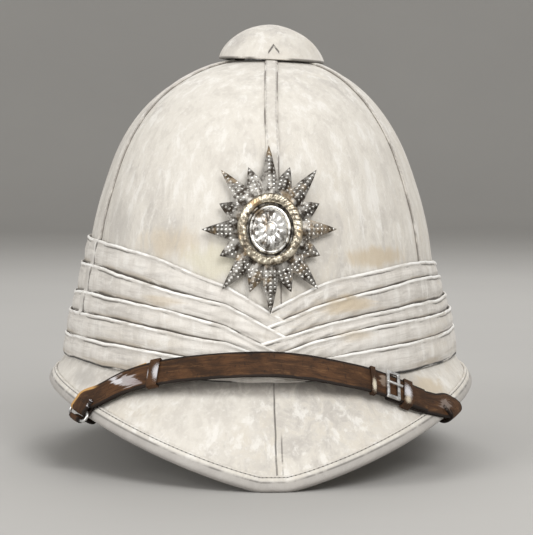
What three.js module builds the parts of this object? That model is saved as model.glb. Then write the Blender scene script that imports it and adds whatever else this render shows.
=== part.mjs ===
// Pith helmet with a pleated puggaree, a leather chin strap and a metal plate.
// Millimetres, +Z up, the front peak points to -Y. The helmet stands as it rests on a table:
// on the tip of its peak and on the middle of its neck guard, both at z = 0.
import * as THREE from 'three';

const DEGREE = Math.PI / 180;
const UP = new THREE.Vector3(0, 0, 1);

// Crown: half width at each height, from the brim joint up to the edge of the vent hole.
const CROWN_PROFILE = [
  { height: 50, halfWidth: 108.2 },
  { height: 64, halfWidth: 107.3 },
  { height: 86, halfWidth: 105 },
  { height: 104, halfWidth: 102.8 },
  { height: 128, halfWidth: 99.5 },
  { height: 140, halfWidth: 96.9 },
  { height: 152, halfWidth: 93.6 },
  { height: 170, halfWidth: 87.5 },
  { height: 182, halfWidth: 82.3 },
  { height: 194, halfWidth: 75.2 },
  { height: 205, halfWidth: 66.4 },
  { height: 214, halfWidth: 56.4 },
  { height: 221, halfWidth: 45.5 },
  { height: 226, halfWidth: 34 },
  { height: 229, halfWidth: 22 },
  { height: 229.8, halfWidth: 16 },
];
const CROWN_WALL = 3.5;
const CROWN_EXTRA_LENGTH = 17;      // how much longer than wide the oval is, to front and back, at its base
const CROWN_BASE_HEIGHT = 57;
const CROWN_FORWARD_LEAN = 0.06;    // the crown leans forward by this share of its height
const CROWN_SIDE_LEAN = 6;          // the top stands this far to the wearer's left of the middle
const SIDE_LEAN_START = 160;
const SIDE_LEAN_FULL = 235;
const PANEL_STEPS = 8;              // steps round the helmet in one crown panel
const PANEL_GAP = 0.12;             // degrees between a panel's side and the middle of its seam
const CROWN_PANELS = [              // the six panels, from seam to seam
  { name: 'crown_front_right', from: 1.4, to: 61 },
  { name: 'crown_right', from: 61, to: 120 },
  { name: 'crown_rear_right', from: 120, to: 180 },
  { name: 'crown_rear_left', from: 180, to: 240 },
  { name: 'crown_left', from: 240, to: 290 },
  { name: 'crown_front_left', from: 290, to: 361.4 },
];
const AROUND = 60;                  // steps round the helmet for the puggaree
const BRIM_AROUND = 72;             // the same for the brim and its binding
const FRONT_CROWDING = 14;          // degrees by which the steps are drawn towards the front

// Puggaree: the height of each fold's top edge, by the turn from the front (negative to -X).
const FOLD_HEIGHTS = [
  { turn: -120, f0: 125.5, f1: 111, f2: 95, f3: 84, f4: 70.7, bottom: 59 },
  { turn: -90, f0: 127, f1: 111.7, f2: 94.8, f3: 83.9, f4: 70.6, bottom: 58 },
  { turn: -65, f0: 126, f1: 112, f2: 97, f3: 85.2, f4: 71.5, bottom: 58.5 },
  { turn: -50, f0: 123.3, f1: 108.7, f2: 95.3, f3: 84.1, f4: 70.8, bottom: 57.2 },
  { turn: -35, f0: 118.5, f1: 103.7, f2: 92.4, f3: 81.3, f4: 69, bottom: 55.5 },
  { turn: -20, f0: 109.5, f1: 97.8, f2: 87, f3: 77, f4: 66, bottom: 54.3 },
  { turn: -10, f0: 103, f1: 93.5, f2: 82, f3: 74.3, f4: 64.2, bottom: 53.7 },
  { turn: 0, f0: 93, f1: 84, f2: 75, f3: 69.5, f4: 62, bottom: 53.5 },
  { turn: 10, f0: 101.8, f1: 91.5, f2: 81.2, f3: 74.4, f4: 64.5, bottom: 53.7 },
  { turn: 20, f0: 107.7, f1: 96.8, f2: 85.6, f3: 78.5, f4: 67.5, bottom: 54 },
  { turn: 35, f0: 111.8, f1: 101.6, f2: 89.5, f3: 82.5, f4: 70.3, bottom: 54.8 },
  { turn: 50, f0: 114.4, f1: 105, f2: 91.8, f3: 83.9, f4: 72, bottom: 56.5 },
  { turn: 65, f0: 114, f1: 105.5, f2: 92.4, f3: 84.6, f4: 73.6, bottom: 57.5 },
  { turn: 90, f0: 110.6, f1: 102.5, f2: 92.8, f3: 84.8, f4: 74.2, bottom: 57.5 },
  { turn: 120, f0: 113, f1: 103.5, f2: 93, f3: 84.5, f4: 73, bottom: 59 },
  { turn: 150, f0: 117, f1: 106, f2: 94, f3: 84.5, f4: 72, bottom: 60.5 },
  { turn: 180, f0: 120, f1: 108, f2: 95, f3: 84.5, f4: 71.5, bottom: 61 },
  { turn: 210, f0: 123, f1: 109.5, f2: 95, f3: 84, f4: 71, bottom: 60.5 },
  { turn: 240, f0: 125.5, f1: 111, f2: 95, f3: 84, f4: 70.7, bottom: 59 },
];
// How far each fold's lip stands off the crown, and its lower end under the next fold's lip.
const FOLD_LAYERS = [
  { top: 'f0', end: 'f1', lip: 1.9, lowerEnd: 2.3 },
  { top: 'f1', end: 'f2', lip: 3.8, lowerEnd: 4.1 },
  { top: 'f2', end: 'f3', lip: 5.6, lowerEnd: 5.9 },
  { top: 'f3', end: 'f4', lip: 7.5, lowerEnd: 7.8 },
  { top: 'f4', end: 'bottom', lip: 8.4, lowerEnd: 8.9 },
];
const LIP_ROUNDING = 1.1;
const CLOTH_GAP = 0.35;
const FLARE_HEIGHT = 11;            // the brim starts to flare this far above the puggaree's lower edge
const FLARE_REACH = 7.9;

// Brim: half width, reach to front and back, and the height of its edge.
const BRIM_HALF_WIDTH = 123.6;
const BRIM_FRONT_REACH = 169;
const BRIM_REAR_REACH = 184;
const BRIM_SIDE_RISE = 41.5;
const BRIM_EDGE_LIFT = 2.6;
const FRONT_EDGE_POWER = 1.22;
const REAR_EDGE_POWER = 2.2;
const FRONT_FLAT_SHARE = 0.035;     // share of the side rise that is cut flat at the tip
const REAR_FLAT_SHARE = 0.06;
const BRIM_WALL = 3;
const BRIM_BOW = 1.6;
const BRIM_TOP_ABOVE_FOLDS = 22;
const JOINT_GAP = 0.4;
const BRIM_STEPS = 5;

// Binding: its leg along the brim, its cloth, and its gap to the brim.
const BINDING_LEG = 6;
const BINDING_CLOTH = 1;
const BINDING_GAP = 0.45;
const BINDING_NOSE = 1.5;

// Seam tapes over the joints of the six crown panels.
const TAPE_WIDTH = 7;
const TAPE_CLOTH = 0.8;
const TAPE_STEPS = 14;
const TAPE_START_ABOVE_FOLDS = 2;
const TAPE_TOP_HEIGHT = 229;
const TAPES = [
  { name: 'tape_front', turn: 1.4 },
  { name: 'tape_front_right', turn: 61 },
  { name: 'tape_rear_right', turn: 120 },
  { name: 'tape_rear', turn: 180 },
  { name: 'tape_rear_left', turn: -120 },
  { name: 'tape_front_left', turn: -70 },
];

// Upright stitched end of the puggaree on the left.
const JOIN_TURN = -70;
const JOIN_WIDTH = 7;
const JOIN_CLOTH = 0.8;

// Ventilator: a cloth-covered cap on a plain tube.
const DOME_RADIUS = 31;
const DOME_HEIGHT = 21;
const DOME_WALL = 2.4;
const DOME_BASE_HEIGHT = 229.6;
const DOME_FULLNESS = 4 / 3;        // 1 is an ellipse; more makes the cap's side slope more
const DOME_SHIFT = 2;               // the cap sits this far to the wearer's left of its tube
const DOME_TILT = 2.6;              // degrees by which the cap hangs down on that side
const COLLAR_RADIUS = 14;
const COLLAR_WALL = 1.6;
const COLLAR_FLANGE = 21;
const COLLAR_FLANGE_HEIGHT = 222.5;
const COLLAR_TOP_GAP = 1.2;         // between the tube's top and the inside of the cap

// Chin strap: the turn and height of its middle line over the peak, and how far its back
// stands off the cloth there.
const STRAP_WIDTH = 15.5;
const STRAP_THICKNESS = 1.6;
const STRAP_NORMAL_RISE = 38;       // degrees that the strap's face looks up
const STRAP_LONG_ROUTE = [
  { turn: 42.5, height: 40.8, standOff: 4.9 },
  { turn: 37, height: 44.8, standOff: 6.3 },
  { turn: 32.5, height: 48.4, standOff: 7.5 },
  { turn: 24.1, height: 54.3, standOff: 8.6 },
  { turn: 16.3, height: 58.6, standOff: 8.3 },
  { turn: 8, height: 62.2, standOff: 7.6 },
  { turn: 0, height: 63.8, standOff: 7.4 },
  { turn: -9.1, height: 63.4, standOff: 7.5 },
  { turn: -18.6, height: 61.5, standOff: 7.7 },
  { turn: -28.6, height: 57.8, standOff: 8.2 },
  { turn: -39.5, height: 51.2, standOff: 6.6 },
  { turn: -49.7, height: 42.4, standOff: 5.1 },
];
const STRAP_RETURN_ROUTE = [
  { turn: -49.7, height: 43.1, standOff: 4.3 },
  { turn: -39.5, height: 52.2, standOff: 5.8 },
  { turn: -33, height: 56.8, standOff: 6.9 },
];
const STRAP_SHORT_TURNS = [29.5, 33, 36, 39];   // where the short strap lies under the long one
const STRAP_LAYER_GAP = 0.35;
const STRAP_SHORT_ROUTE = [
  { turn: 45.5, height: 38.9, standOff: 2.5 },
  { turn: 50, height: 37, standOff: 2.7 },
];
const STRAP_LEFT_TURN = -54;        // where the strap meets its wire loop at the brim's edge
const STRAP_RIGHT_TURN = 55;        // where it goes over the edge on the other side
const STRAP_WALL_GAP = 1;             // behind the strap on the inner wall
const TAB_WIDTH = 10;
const WIRE_RADIUS = 0.7;
const WIRE_SIDES = 6;
const LOOP_HALF_LENGTH = 9.4;
const LOOP_BARS = [                 // the loop's two long bars, in the frame of the brim's edge
  { out: 0.6, face: 4.15 },
  { out: 5.2, face: 3.6 },
];
const ANCHOR_RADIUS = 5.5;
const ANCHOR_THICKNESS = 2;
const ANCHOR_TURN = 68;
const ANCHOR_HEIGHT = 73;

// Leather keepers and the buckle: where they sit along the strap, their length along it,
// and how far they reach below the long strap's back.
const KEEPERS = [
  { name: 'keeper_left', turn: -29.5, length: 6.5, below: 0 },
  { name: 'keeper_middle', turn: 25.4, length: 3, below: 0 },
  { name: 'keeper_right', turn: 36, length: 5.5, below: 1.95 },
];
const KEEPER_WALL = 1;
const KEEPER_GAP = 0.4;
const BUCKLE_TURN = 31;
const BUCKLE_LENGTH = 8.5;
const BUCKLE_WIDTH = 18;
const BUCKLE_BAR = 1.8;
const BUCKLE_THICKNESS = 1.6;
const PRONG_WIDTH = 1.8;

// Plate in front: a plain sunburst, a ring and a domed boss, on a thin bar behind it.
const BADGE_HEIGHT = 134.4;         // the middle of the plate above the table
const BADGE_STANDOFF = 2.6;
const BADGE_SLOPE = 0.97;
const STAR_HALF_WIDTH = 35;
const STAR_HALF_HEIGHT = 46;
const STAR_RAYS = 16;
const STAR_SHORT_RAY = 0.8;
const STAR_VALLEY = 0.6;
const STAR_RINGS = [                // height of the ridges and valleys over the plate's back
  { share: 0.34, ridge: 1.9, valley: 1.7 },
  { share: 0.68, ridge: 2.8, valley: 1.4 },
  { share: 1, ridge: 1.3, valley: 1 },
];
const RING_HALF_WIDTH = 14;
const RING_HALF_HEIGHT = 16.8;
const RING_THICKNESS = 2.3;
const RING_STEPS = 32;
const BOSS_HALF_WIDTH = 10.6;
const BOSS_HALF_HEIGHT = 13.2;
const BOSS_BASE = 2.3;
const BOSS_RISE = 3.6;
const BOSS_STEPS = 20;
const BACK_BAR_LENGTH = 24;
const BACK_BAR_WIDTH = 5;

// One closed body from rings of equal length; the path of rings is closed or has end caps.
function loft(rings, closedPath) {
  const count = rings[0].length;
  const positions = rings.flat().flatMap((point) => [point.x, point.y, point.z]);
  const index = [];
  const steps = closedPath ? rings.length : rings.length - 1;
  for (let ring = 0; ring < steps; ring += 1) {
    const here = ring * count;
    const next = ((ring + 1) % rings.length) * count;
    for (let side = 0; side < count; side += 1) {
      const after = (side + 1) % count;
      index.push(here + side, here + after, next + after);
      index.push(here + side, next + after, next + side);
    }
  }
  if (!closedPath) {
    const last = (rings.length - 1) * count;
    for (let side = 1; side < count - 1; side += 1) {
      index.push(0, side + 1, side);
      index.push(last, last + side, last + side + 1);
    }
  }
  return turnedOut(positions, index);
}

// A geometry whose faces point out: all are turned round when the volume comes out negative.
function turnedOut(positions, index) {
  const corner = (at) => new THREE.Vector3().fromArray(positions, index[at] * 3);
  let volume = 0;
  for (let at = 0; at < index.length; at += 3) {
    volume += corner(at).dot(corner(at + 1).cross(corner(at + 2)));
  }
  if (volume < 0) {
    for (let at = 0; at < index.length; at += 3) {
      [index[at], index[at + 1]] = [index[at + 1], index[at]];
    }
  }
  const geometry = new THREE.BufferGeometry();
  geometry.setAttribute('position', new THREE.Float32BufferAttribute(positions, 3));
  geometry.setIndex(index);
  geometry.computeVertexNormals();
  return geometry;
}

function steps(count) {
  return Array.from({ length: count }, (_, step) => step);
}

// Value of a table's column between two rows, eased so that it has no corner at a row.
function between(rows, keyColumn, column, key) {
  const last = rows.length - 1;
  if (key <= rows[0][keyColumn]) return rows[0][column];
  if (key >= rows[last][keyColumn]) return rows[last][column];
  const at = rows.findIndex((row) => row[keyColumn] > key) - 1;
  const before = rows[Math.max(at - 1, 0)];
  const after = rows[Math.min(at + 2, last)];
  const low = rows[at];
  const high = rows[at + 1];
  const span = high[keyColumn] - low[keyColumn];
  const share = (key - low[keyColumn]) / span;
  const slopeLow = ((high[column] - before[column]) / (high[keyColumn] - before[keyColumn])) * span;
  const slopeHigh = ((after[column] - low[column]) / (after[keyColumn] - low[keyColumn])) * span;
  const square = share * share;
  const cube = square * share;
  return (2 * cube - 3 * square + 1) * low[column] + (cube - 2 * square + share) * slopeLow
    + (3 * square - 2 * cube) * high[column] + (cube - square) * slopeHigh;
}

function foldHeight(turn, column) {
  let key = turn;
  while (key < -90) key += 360;
  while (key >= 270) key -= 360;
  if (key > 240) key -= 360;
  return between(FOLD_HEIGHTS, 'turn', column, key);
}

// The oval of the crown at a height: its middle and its two half axes.
function crownOval(height) {
  const top = CROWN_PROFILE[CROWN_PROFILE.length - 1];
  const base = CROWN_PROFILE[0];
  const halfWidth = between(CROWN_PROFILE, 'height', 'halfWidth', height);
  const share = (halfWidth - top.halfWidth) / (base.halfWidth - top.halfWidth);
  const lean = THREE.MathUtils.clamp((height - SIDE_LEAN_START) / (SIDE_LEAN_FULL - SIDE_LEAN_START), 0, 1);
  return {
    middleX: CROWN_SIDE_LEAN * lean ** 4,
    middleY: -CROWN_FORWARD_LEAN * (height - CROWN_BASE_HEIGHT),
    halfWidth,
    halfLength: halfWidth + CROWN_EXTRA_LENGTH * share,
  };
}

// A point on the crown's outer face, or off it by a distance along its normal.
function crownPoint(turn, height, offset = 0) {
  const oval = crownOval(height);
  const angle = turn * DEGREE;
  const point = new THREE.Vector3(
    oval.middleX + oval.halfWidth * Math.sin(angle),
    oval.middleY - oval.halfLength * Math.cos(angle),
    height,
  );
  return offset === 0 ? point : point.addScaledVector(crownNormal(turn, height), offset);
}

function crownNormal(turn, height) {
  const small = 0.05;
  const along = crownPoint(turn + small, height).sub(crownPoint(turn - small, height));
  const rise = crownPoint(turn, height + small).sub(crownPoint(turn, height - small));
  return along.cross(rise).normalize();
}

// Horizontal direction that faces away from the crown at a turn.
function outward(turn) {
  const normal = crownNormal(turn, CROWN_BASE_HEIGHT);
  return normal.setZ(0).normalize();
}

function edgePoint(turn) {
  const angle = turn * DEGREE;
  const reach = (BRIM_FRONT_REACH + BRIM_REAR_REACH) / 2
    + ((BRIM_FRONT_REACH - BRIM_REAR_REACH) / 2) * Math.cos(angle);
  const side = Math.abs(Math.sin(angle));
  const front = Math.max(0, (1 + FRONT_FLAT_SHARE) * side ** FRONT_EDGE_POWER - FRONT_FLAT_SHARE);
  const rear = Math.max(0, (1 + REAR_FLAT_SHARE) * side ** REAR_EDGE_POWER - REAR_FLAT_SHARE);
  const share = Math.cos(angle) > 0 ? front : rear;
  return new THREE.Vector3(
    BRIM_HALF_WIDTH * Math.sin(angle),
    -reach * Math.cos(angle),
    BRIM_EDGE_LIFT + BRIM_SIDE_RISE * share,
  );
}

function rootPoint(turn) {
  const height = foldHeight(turn, 'bottom') - 1;
  return crownPoint(turn, height).addScaledVector(outward(turn), FLARE_REACH);
}

// A point on the brim's outer face: 0 is its root under the puggaree, 1 is its edge.
function brimPoint(turn, share, offset = 0) {
  const root = rootPoint(turn);
  const edge = edgePoint(turn);
  const slope = edge.clone().sub(root);
  const flat = slope.clone().setZ(0).normalize();
  const facing = flat.multiplyScalar(-slope.z).addScaledVector(UP, Math.hypot(slope.x, slope.y)).normalize();
  const bow = BRIM_BOW * Math.abs(Math.cos(turn * DEGREE)) * 4 * share * (1 - share);
  const point = root.addScaledVector(slope, share).addScaledVector(facing, bow);
  return offset === 0 ? point : point.addScaledVector(brimNormal(turn, share), offset);
}

function brimNormal(turn, share) {
  const small = 0.02;
  const along = brimPoint(turn + 1, share).sub(brimPoint(turn - 1, share));
  const rise = brimPoint(turn, share - small).sub(brimPoint(turn, share + small));
  return along.cross(rise).normalize();
}

// A point in the frame of the brim's edge: 'out' runs square off the edge along the brim's slope,
// 'face' looks away from the cloth.
function aroundEdge(turn, out, face) {
  const normal = brimNormal(turn, 1);
  return brimPoint(turn, 1)
    .addScaledVector(alongEdge(turn).cross(normal), out)
    .addScaledVector(normal, face);
}

function alongEdge(turn) {
  return edgePoint(turn + 1).sub(edgePoint(turn - 1)).normalize();
}

// The outermost cloth at a turn and height: the puggaree above its lower edge, the brim below.
function clothPoint(turn, height) {
  const bottom = foldHeight(turn, 'bottom');
  if (height > bottom) {
    const top = foldHeight(turn, 'f0');
    const first = FOLD_LAYERS[0].lip;
    const last = FOLD_LAYERS[FOLD_LAYERS.length - 1].lowerEnd;
    const thickness = THREE.MathUtils.mapLinear(height, bottom, top, last, first);
    return crownPoint(turn, height).addScaledVector(outward(turn), thickness);
  }
  let low = 0;
  let high = 1;
  for (const _ of steps(24)) {
    const middle = (low + high) / 2;
    if (brimPoint(turn, middle).z > height) low = middle;
    else high = middle;
  }
  return brimPoint(turn, low);
}

// Turns once round the helmet, closer together in front than behind.
function ringTurns(count) {
  return steps(count).map((step) => (
    (step * 360) / count - FRONT_CROWDING * Math.sin((step * 2 * Math.PI) / count)
  ));
}

// One panel of the crown's shell, closed at its two seams by flat ends.
function makeCrownPanel({ from, to }) {
  const topHeight = CROWN_PROFILE[CROWN_PROFILE.length - 1].height;
  const rings = steps(PANEL_STEPS + 1).map((step) => {
    const turn = THREE.MathUtils.lerp(from + PANEL_GAP, to - PANEL_GAP, step / PANEL_STEPS);
    const base = foldHeight(turn, 'bottom') + BRIM_TOP_ABOVE_FOLDS + JOINT_GAP;
    const heights = [base, ...CROWN_PROFILE.map((row) => row.height).filter((height) => height > 86)];
    const outer = heights.map((height) => crownPoint(turn, height));
    const inner = heights.filter((height, at) => at % 2 === 0 && height < topHeight)
      .map((height) => crownPoint(turn, height, -CROWN_WALL));
    inner.push(crownPoint(turn, topHeight).setZ(topHeight - CROWN_WALL));
    return [...outer, ...inner.reverse()];
  });
  return loftWithFlatEnds(rings);
}

// A body from rings whose outline may be hollow on one side, closed by flat ends.
function loftWithFlatEnds(rings) {
  const count = rings[0].length;
  const index = [];
  for (const ring of steps(rings.length - 1)) {
    for (const side of steps(count)) {
      const here = ring * count;
      const after = (side + 1) % count;
      index.push(here + side, here + after, here + count + after);
      index.push(here + side, here + count + after, here + count + side);
    }
  }
  const lastRing = (rings.length - 1) * count;
  for (const [first, ring] of [[0, rings[0]], [lastRing, rings[rings.length - 1]]]) {
    const outline = ring.map(({ x, y, z }) => new THREE.Vector2(Math.hypot(x, y), z));
    for (const [a, b, c] of THREE.ShapeUtils.triangulateShape(outline, [])) {
      if (first === 0) index.push(first + a, first + c, first + b);
      else index.push(first + a, first + b, first + c);
    }
  }
  return turnedOut(rings.flat().flatMap(({ x, y, z }) => [x, y, z]), index);
}

function makeBrim() {
  const rings = ringTurns(BRIM_AROUND).map((turn) => {
    const bottom = foldHeight(turn, 'bottom');
    const wallHeights = [bottom + BRIM_TOP_ABOVE_FOLDS, bottom + FLARE_HEIGHT];
    const shares = steps(BRIM_STEPS + 1).map((step) => step / BRIM_STEPS);
    const outer = [
      ...wallHeights.map((height) => crownPoint(turn, height)),
      ...shares.map((share) => brimPoint(turn, share)),
    ];
    const inner = [
      ...wallHeights.map((height) => crownPoint(turn, height, -CROWN_WALL)),
      ...shares.map((share) => brimPoint(turn, share, -BRIM_WALL)),
    ];
    return [...outer, ...inner.reverse()];
  });
  return loft(rings, true);
}

// The binding's section as a folded strip: along the slope and off the face of the brim.
function bindingSection() {
  const near = BINDING_GAP;
  const far = BINDING_GAP + BINDING_CLOTH;
  const under = -BRIM_WALL;
  return [
    { out: -BINDING_LEG, face: near },
    { out: near, face: near },
    { out: near, face: under - near },
    { out: -BINDING_LEG, face: under - near },
    { out: -BINDING_LEG, face: under - far },
    { out: BINDING_NOSE - BINDING_CLOTH, face: under - far },
    { out: BINDING_NOSE + BINDING_GAP, face: under },
    { out: BINDING_NOSE + BINDING_GAP, face: 0 },
    { out: BINDING_NOSE - BINDING_CLOTH, face: far },
    { out: -BINDING_LEG, face: far },
  ];
}

// What would reach below the resting plane is pressed flat on it.
function pressedFlat(point) {
  return point.setZ(Math.max(point.z, 0));
}

function makeBinding() {
  const rings = ringTurns(BRIM_AROUND).map((turn) => (
    bindingSection().map(({ out, face }) => pressedFlat(aroundEdge(turn, out, face)))
  ));
  return loft(rings, true);
}

function makePuggaree() {
  const rings = ringTurns(AROUND).map((turn) => {
    const facing = outward(turn);
    const off = (height, reach) => crownPoint(turn, height).addScaledVector(facing, reach);
    const bottom = foldHeight(turn, 'bottom');
    const top = foldHeight(turn, 'f0');
    const outer = FOLD_LAYERS.flatMap((layer) => {
      const lipHeight = foldHeight(turn, layer.top);
      const endHeight = foldHeight(turn, layer.end);
      return [
        off(lipHeight, layer.lip - LIP_ROUNDING),
        off(lipHeight - LIP_ROUNDING, layer.lip),
        off(endHeight, layer.lowerEnd),
      ];
    });
    const lowest = FOLD_LAYERS[FOLD_LAYERS.length - 1].lowerEnd;
    const inner = [
      off(bottom + 0.2, lowest - 1.3),
      off(bottom + FLARE_HEIGHT + 0.6, CLOTH_GAP),
      off((bottom + top) / 2 + 8, CLOTH_GAP),
      off(top, CLOTH_GAP),
    ];
    return [...outer, ...inner];
  });
  return loft(rings, true);
}

// A thin strip along its stations: the middle of its back, the way its face looks and its width.
// A station may also say which way is across; otherwise that follows from its neighbours.
function makeRibbon(stations, thickness) {
  const rings = withAcross(stations).map(({ middle, face, across, width }) => {
    const corner = (side, lift) => middle.clone()
      .addScaledVector(across, (side * width) / 2)
      .addScaledVector(face, lift * thickness);
    return [corner(-1, 0), corner(1, 0), corner(1, 1), corner(-1, 1)];
  });
  return loft(rings, false);
}

function withAcross(stations) {
  return stations.map((station, at) => {
    if (station.across) return station;
    const before = stations[Math.max(at - 1, 0)].middle;
    const after = stations[Math.min(at + 1, stations.length - 1)].middle;
    const along = after.clone().sub(before).normalize();
    return { ...station, across: along.cross(station.face).normalize() };
  });
}

function makeTape(turn) {
  const low = foldHeight(turn, 'f0') + TAPE_START_ABOVE_FOLDS;
  const stations = steps(TAPE_STEPS).map((step) => {
    const share = Math.sin((step / (TAPE_STEPS - 1)) * (Math.PI / 2));
    const height = THREE.MathUtils.lerp(low, TAPE_TOP_HEIGHT, share);
    return {
      middle: crownPoint(turn, height, CLOTH_GAP),
      face: crownNormal(turn, height),
      width: TAPE_WIDTH,
    };
  });
  return makeRibbon(stations, TAPE_CLOTH);
}

function makeJoin() {
  const heights = ['f0', 'f1', 'f2', 'f3'].map((column) => foldHeight(JOIN_TURN, column));
  const lips = FOLD_LAYERS.map((layer) => layer.lip);
  const stations = heights.flatMap((height, at) => {
    const reach = lips[at] + CLOTH_GAP;
    const point = (level) => ({
      middle: crownPoint(JOIN_TURN, level).addScaledVector(outward(JOIN_TURN), reach),
      face: outward(JOIN_TURN),
      width: JOIN_WIDTH,
    });
    return at === heights.length - 1 ? [] : [point(height - 0.6), point(heights[at + 1] + 2)];
  });
  return makeRibbon(stations, JOIN_CLOTH);
}

// A strap's station from its route: the back of the leather stands off the cloth.
function strapStation({ turn, height, standOff }) {
  const facing = outward(turn);
  const face = facing.clone().multiplyScalar(Math.cos(STRAP_NORMAL_RISE * DEGREE))
    .addScaledVector(UP, Math.sin(STRAP_NORMAL_RISE * DEGREE));
  return {
    turn,
    middle: clothPoint(turn, height).addScaledVector(facing, standOff),
    face,
    width: STRAP_WIDTH,
  };
}

// More stations between the given ones, on a smooth curve.
function smoothed(given, count) {
  const stations = withAcross(given);
  const route = new THREE.CatmullRomCurve3(stations.map((station) => station.middle));
  return steps(count).map((step) => {
    const at = (step / (count - 1)) * (stations.length - 1);
    const low = Math.min(Math.floor(at), stations.length - 2);
    const here = stations[low];
    const next = stations[low + 1];
    const blend = (column) => here[column].clone().lerp(next[column], at - low).normalize();
    return {
      turn: THREE.MathUtils.lerp(here.turn, next.turn, at - low),
      middle: route.getPoint(step / (count - 1)),
      face: blend('face'),
      across: blend('across'),
      width: here.width,
    };
  });
}

function edgeStation(turn, out, face, lookOut, lookFace, width) {
  const middle = aroundEdge(turn, out, face);
  const look = aroundEdge(turn, out + lookOut, face + lookFace).sub(middle).normalize();
  const outwards = aroundEdge(turn, 1, 0).sub(aroundEdge(turn, 0, 0));
  const across = outwards.cross(brimNormal(turn, 1)).normalize();
  return { turn, middle, face: look, across, width };
}

function underStation(turn, share, depth, width) {
  return {
    middle: brimPoint(turn, share, -BRIM_WALL - depth),
    face: brimNormal(turn, share).negate(),
    width,
  };
}

// The strap's folded end: round the wire and back under itself.
function strapLongStations() {
  const bar = LOOP_BARS[0];
  const reach = WIRE_RADIUS + 0.25;
  const turn = STRAP_LEFT_TURN;
  const upper = STRAP_LONG_ROUTE.map(strapStation);
  upper.push(edgeStation(turn, -7, bar.face + reach - 0.5, 0, 1, STRAP_WIDTH));
  upper.push(edgeStation(turn, -3, bar.face + reach - 0.1, 0, 1, STRAP_WIDTH));
  upper.push(edgeStation(turn, bar.out, bar.face + reach, 0, 1, STRAP_WIDTH));
  const fold = [45, 90, 135].map((degrees) => {
    const lookOut = Math.sin(degrees * DEGREE);
    const lookFace = Math.cos(degrees * DEGREE);
    const place = [bar.out + reach * lookOut, bar.face + reach * lookFace];
    return edgeStation(turn, ...place, lookOut, lookFace, STRAP_WIDTH);
  });
  const flipped = STRAP_RETURN_ROUTE.map(strapStation)
    .map((station) => ({ ...station, face: station.face.clone().negate() }));
  const lower = [
    edgeStation(turn, bar.out, bar.face - reach, 0, -1, STRAP_WIDTH),
    edgeStation(turn, -3, bar.face - reach, 0, -1, STRAP_WIDTH),
    edgeStation(turn, -7, bar.face - reach + 0.1, 0, -1, STRAP_WIDTH),
    ...flipped,
  ];
  return [...smoothed(upper, 40), ...fold, ...smoothed(lower, 12)];
}

function strapShortStations() {
  const turn = STRAP_RIGHT_TURN;
  const underLong = STRAP_SHORT_TURNS.map((place) => {
    const { middle, face, across } = strapAxes(place);
    const depth = STRAP_THICKNESS + STRAP_LAYER_GAP;
    const lowered = middle.addScaledVector(face, -depth);
    return { turn: place, middle: lowered, face, across: across.negate(), width: STRAP_WIDTH };
  });
  const over = [
    ...underLong,
    ...STRAP_SHORT_ROUTE.map(strapStation),
    edgeStation(turn - 1.4, -4, 2.2, 0, 1, STRAP_WIDTH),
    edgeStation(turn - 0.4, 0.8, 2.6, 0.35, 0.9, STRAP_WIDTH),
    edgeStation(turn, 3.6, 1, 0.9, 0.4, STRAP_WIDTH),
    edgeStation(turn + 0.2, 4.1, -2, 1, -0.2, STRAP_WIDTH),
    edgeStation(turn + 0.6, 2.6, -5.6, 0.4, -0.9, STRAP_WIDTH),
    edgeStation(turn + 1.2, -3, -6.6, 0, -1, STRAP_WIDTH),
    underStation(turn + 4, 0.6, 3, STRAP_WIDTH),
    underStation(turn + 8, 0.25, 3, STRAP_WIDTH),
    ...innerWallStations(1, STRAP_WIDTH),
  ];
  return smoothed(over, 44);
}

// The last stretch, up the inner wall to the anchor.
function innerWallStations(side, width) {
  return [58, 66, ANCHOR_HEIGHT + 5].map((height, at) => {
    const turn = side * (ANCHOR_TURN - 2 + at);
    return {
      middle: crownPoint(turn, height, -CROWN_WALL - STRAP_WALL_GAP),
      face: crownNormal(turn, height).negate(),
      width,
    };
  });
}

function tabStations() {
  const bar = LOOP_BARS[1];
  const reach = WIRE_RADIUS + 0.25;
  const turn = STRAP_LEFT_TURN;
  const under = [0, 45, 90, 135, 180].map((degrees) => {
    const lookOut = Math.sin(degrees * DEGREE);
    const lookFace = Math.cos(degrees * DEGREE);
    const place = [bar.out + reach * lookOut, bar.face + reach * lookFace];
    return edgeStation(turn, ...place, lookOut, lookFace, TAB_WIDTH);
  });
  const inside = smoothed([
    edgeStation(turn, bar.out - 1.1, bar.face - 2, 0.5, -0.85, TAB_WIDTH),
    edgeStation(turn - 0.1, 3.4, -0.6, 1, 0, TAB_WIDTH),
    edgeStation(turn - 0.3, 3.2, -2.8, 1, -0.2, TAB_WIDTH),
    edgeStation(turn - 0.6, 2.2, -5.4, 0.5, -0.85, TAB_WIDTH),
    edgeStation(turn - 1.2, -3, -6.2, 0, -1, TAB_WIDTH),
    underStation(turn - 4, 0.6, 2.4, TAB_WIDTH),
    underStation(turn - 8, 0.25, 2.4, TAB_WIDTH),
    ...innerWallStations(-1, TAB_WIDTH),
  ], 24);
  return [...under, ...inside];
}

// Axes at a turn of the long strap: along it, across it and away from the cloth.
function strapAxes(turn) {
  const stations = strapLongStations();
  const at = stations.findIndex((station) => station.turn < turn);
  const here = stations[at - 1];
  const next = stations[at];
  const share = (here.turn - turn) / (here.turn - next.turn);
  const along = next.middle.clone().sub(here.middle).normalize();
  const across = along.clone().cross(here.face).normalize();
  return {
    middle: here.middle.clone().lerp(next.middle, share),
    along,
    across,
    face: across.clone().cross(along).normalize(),
  };
}

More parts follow.
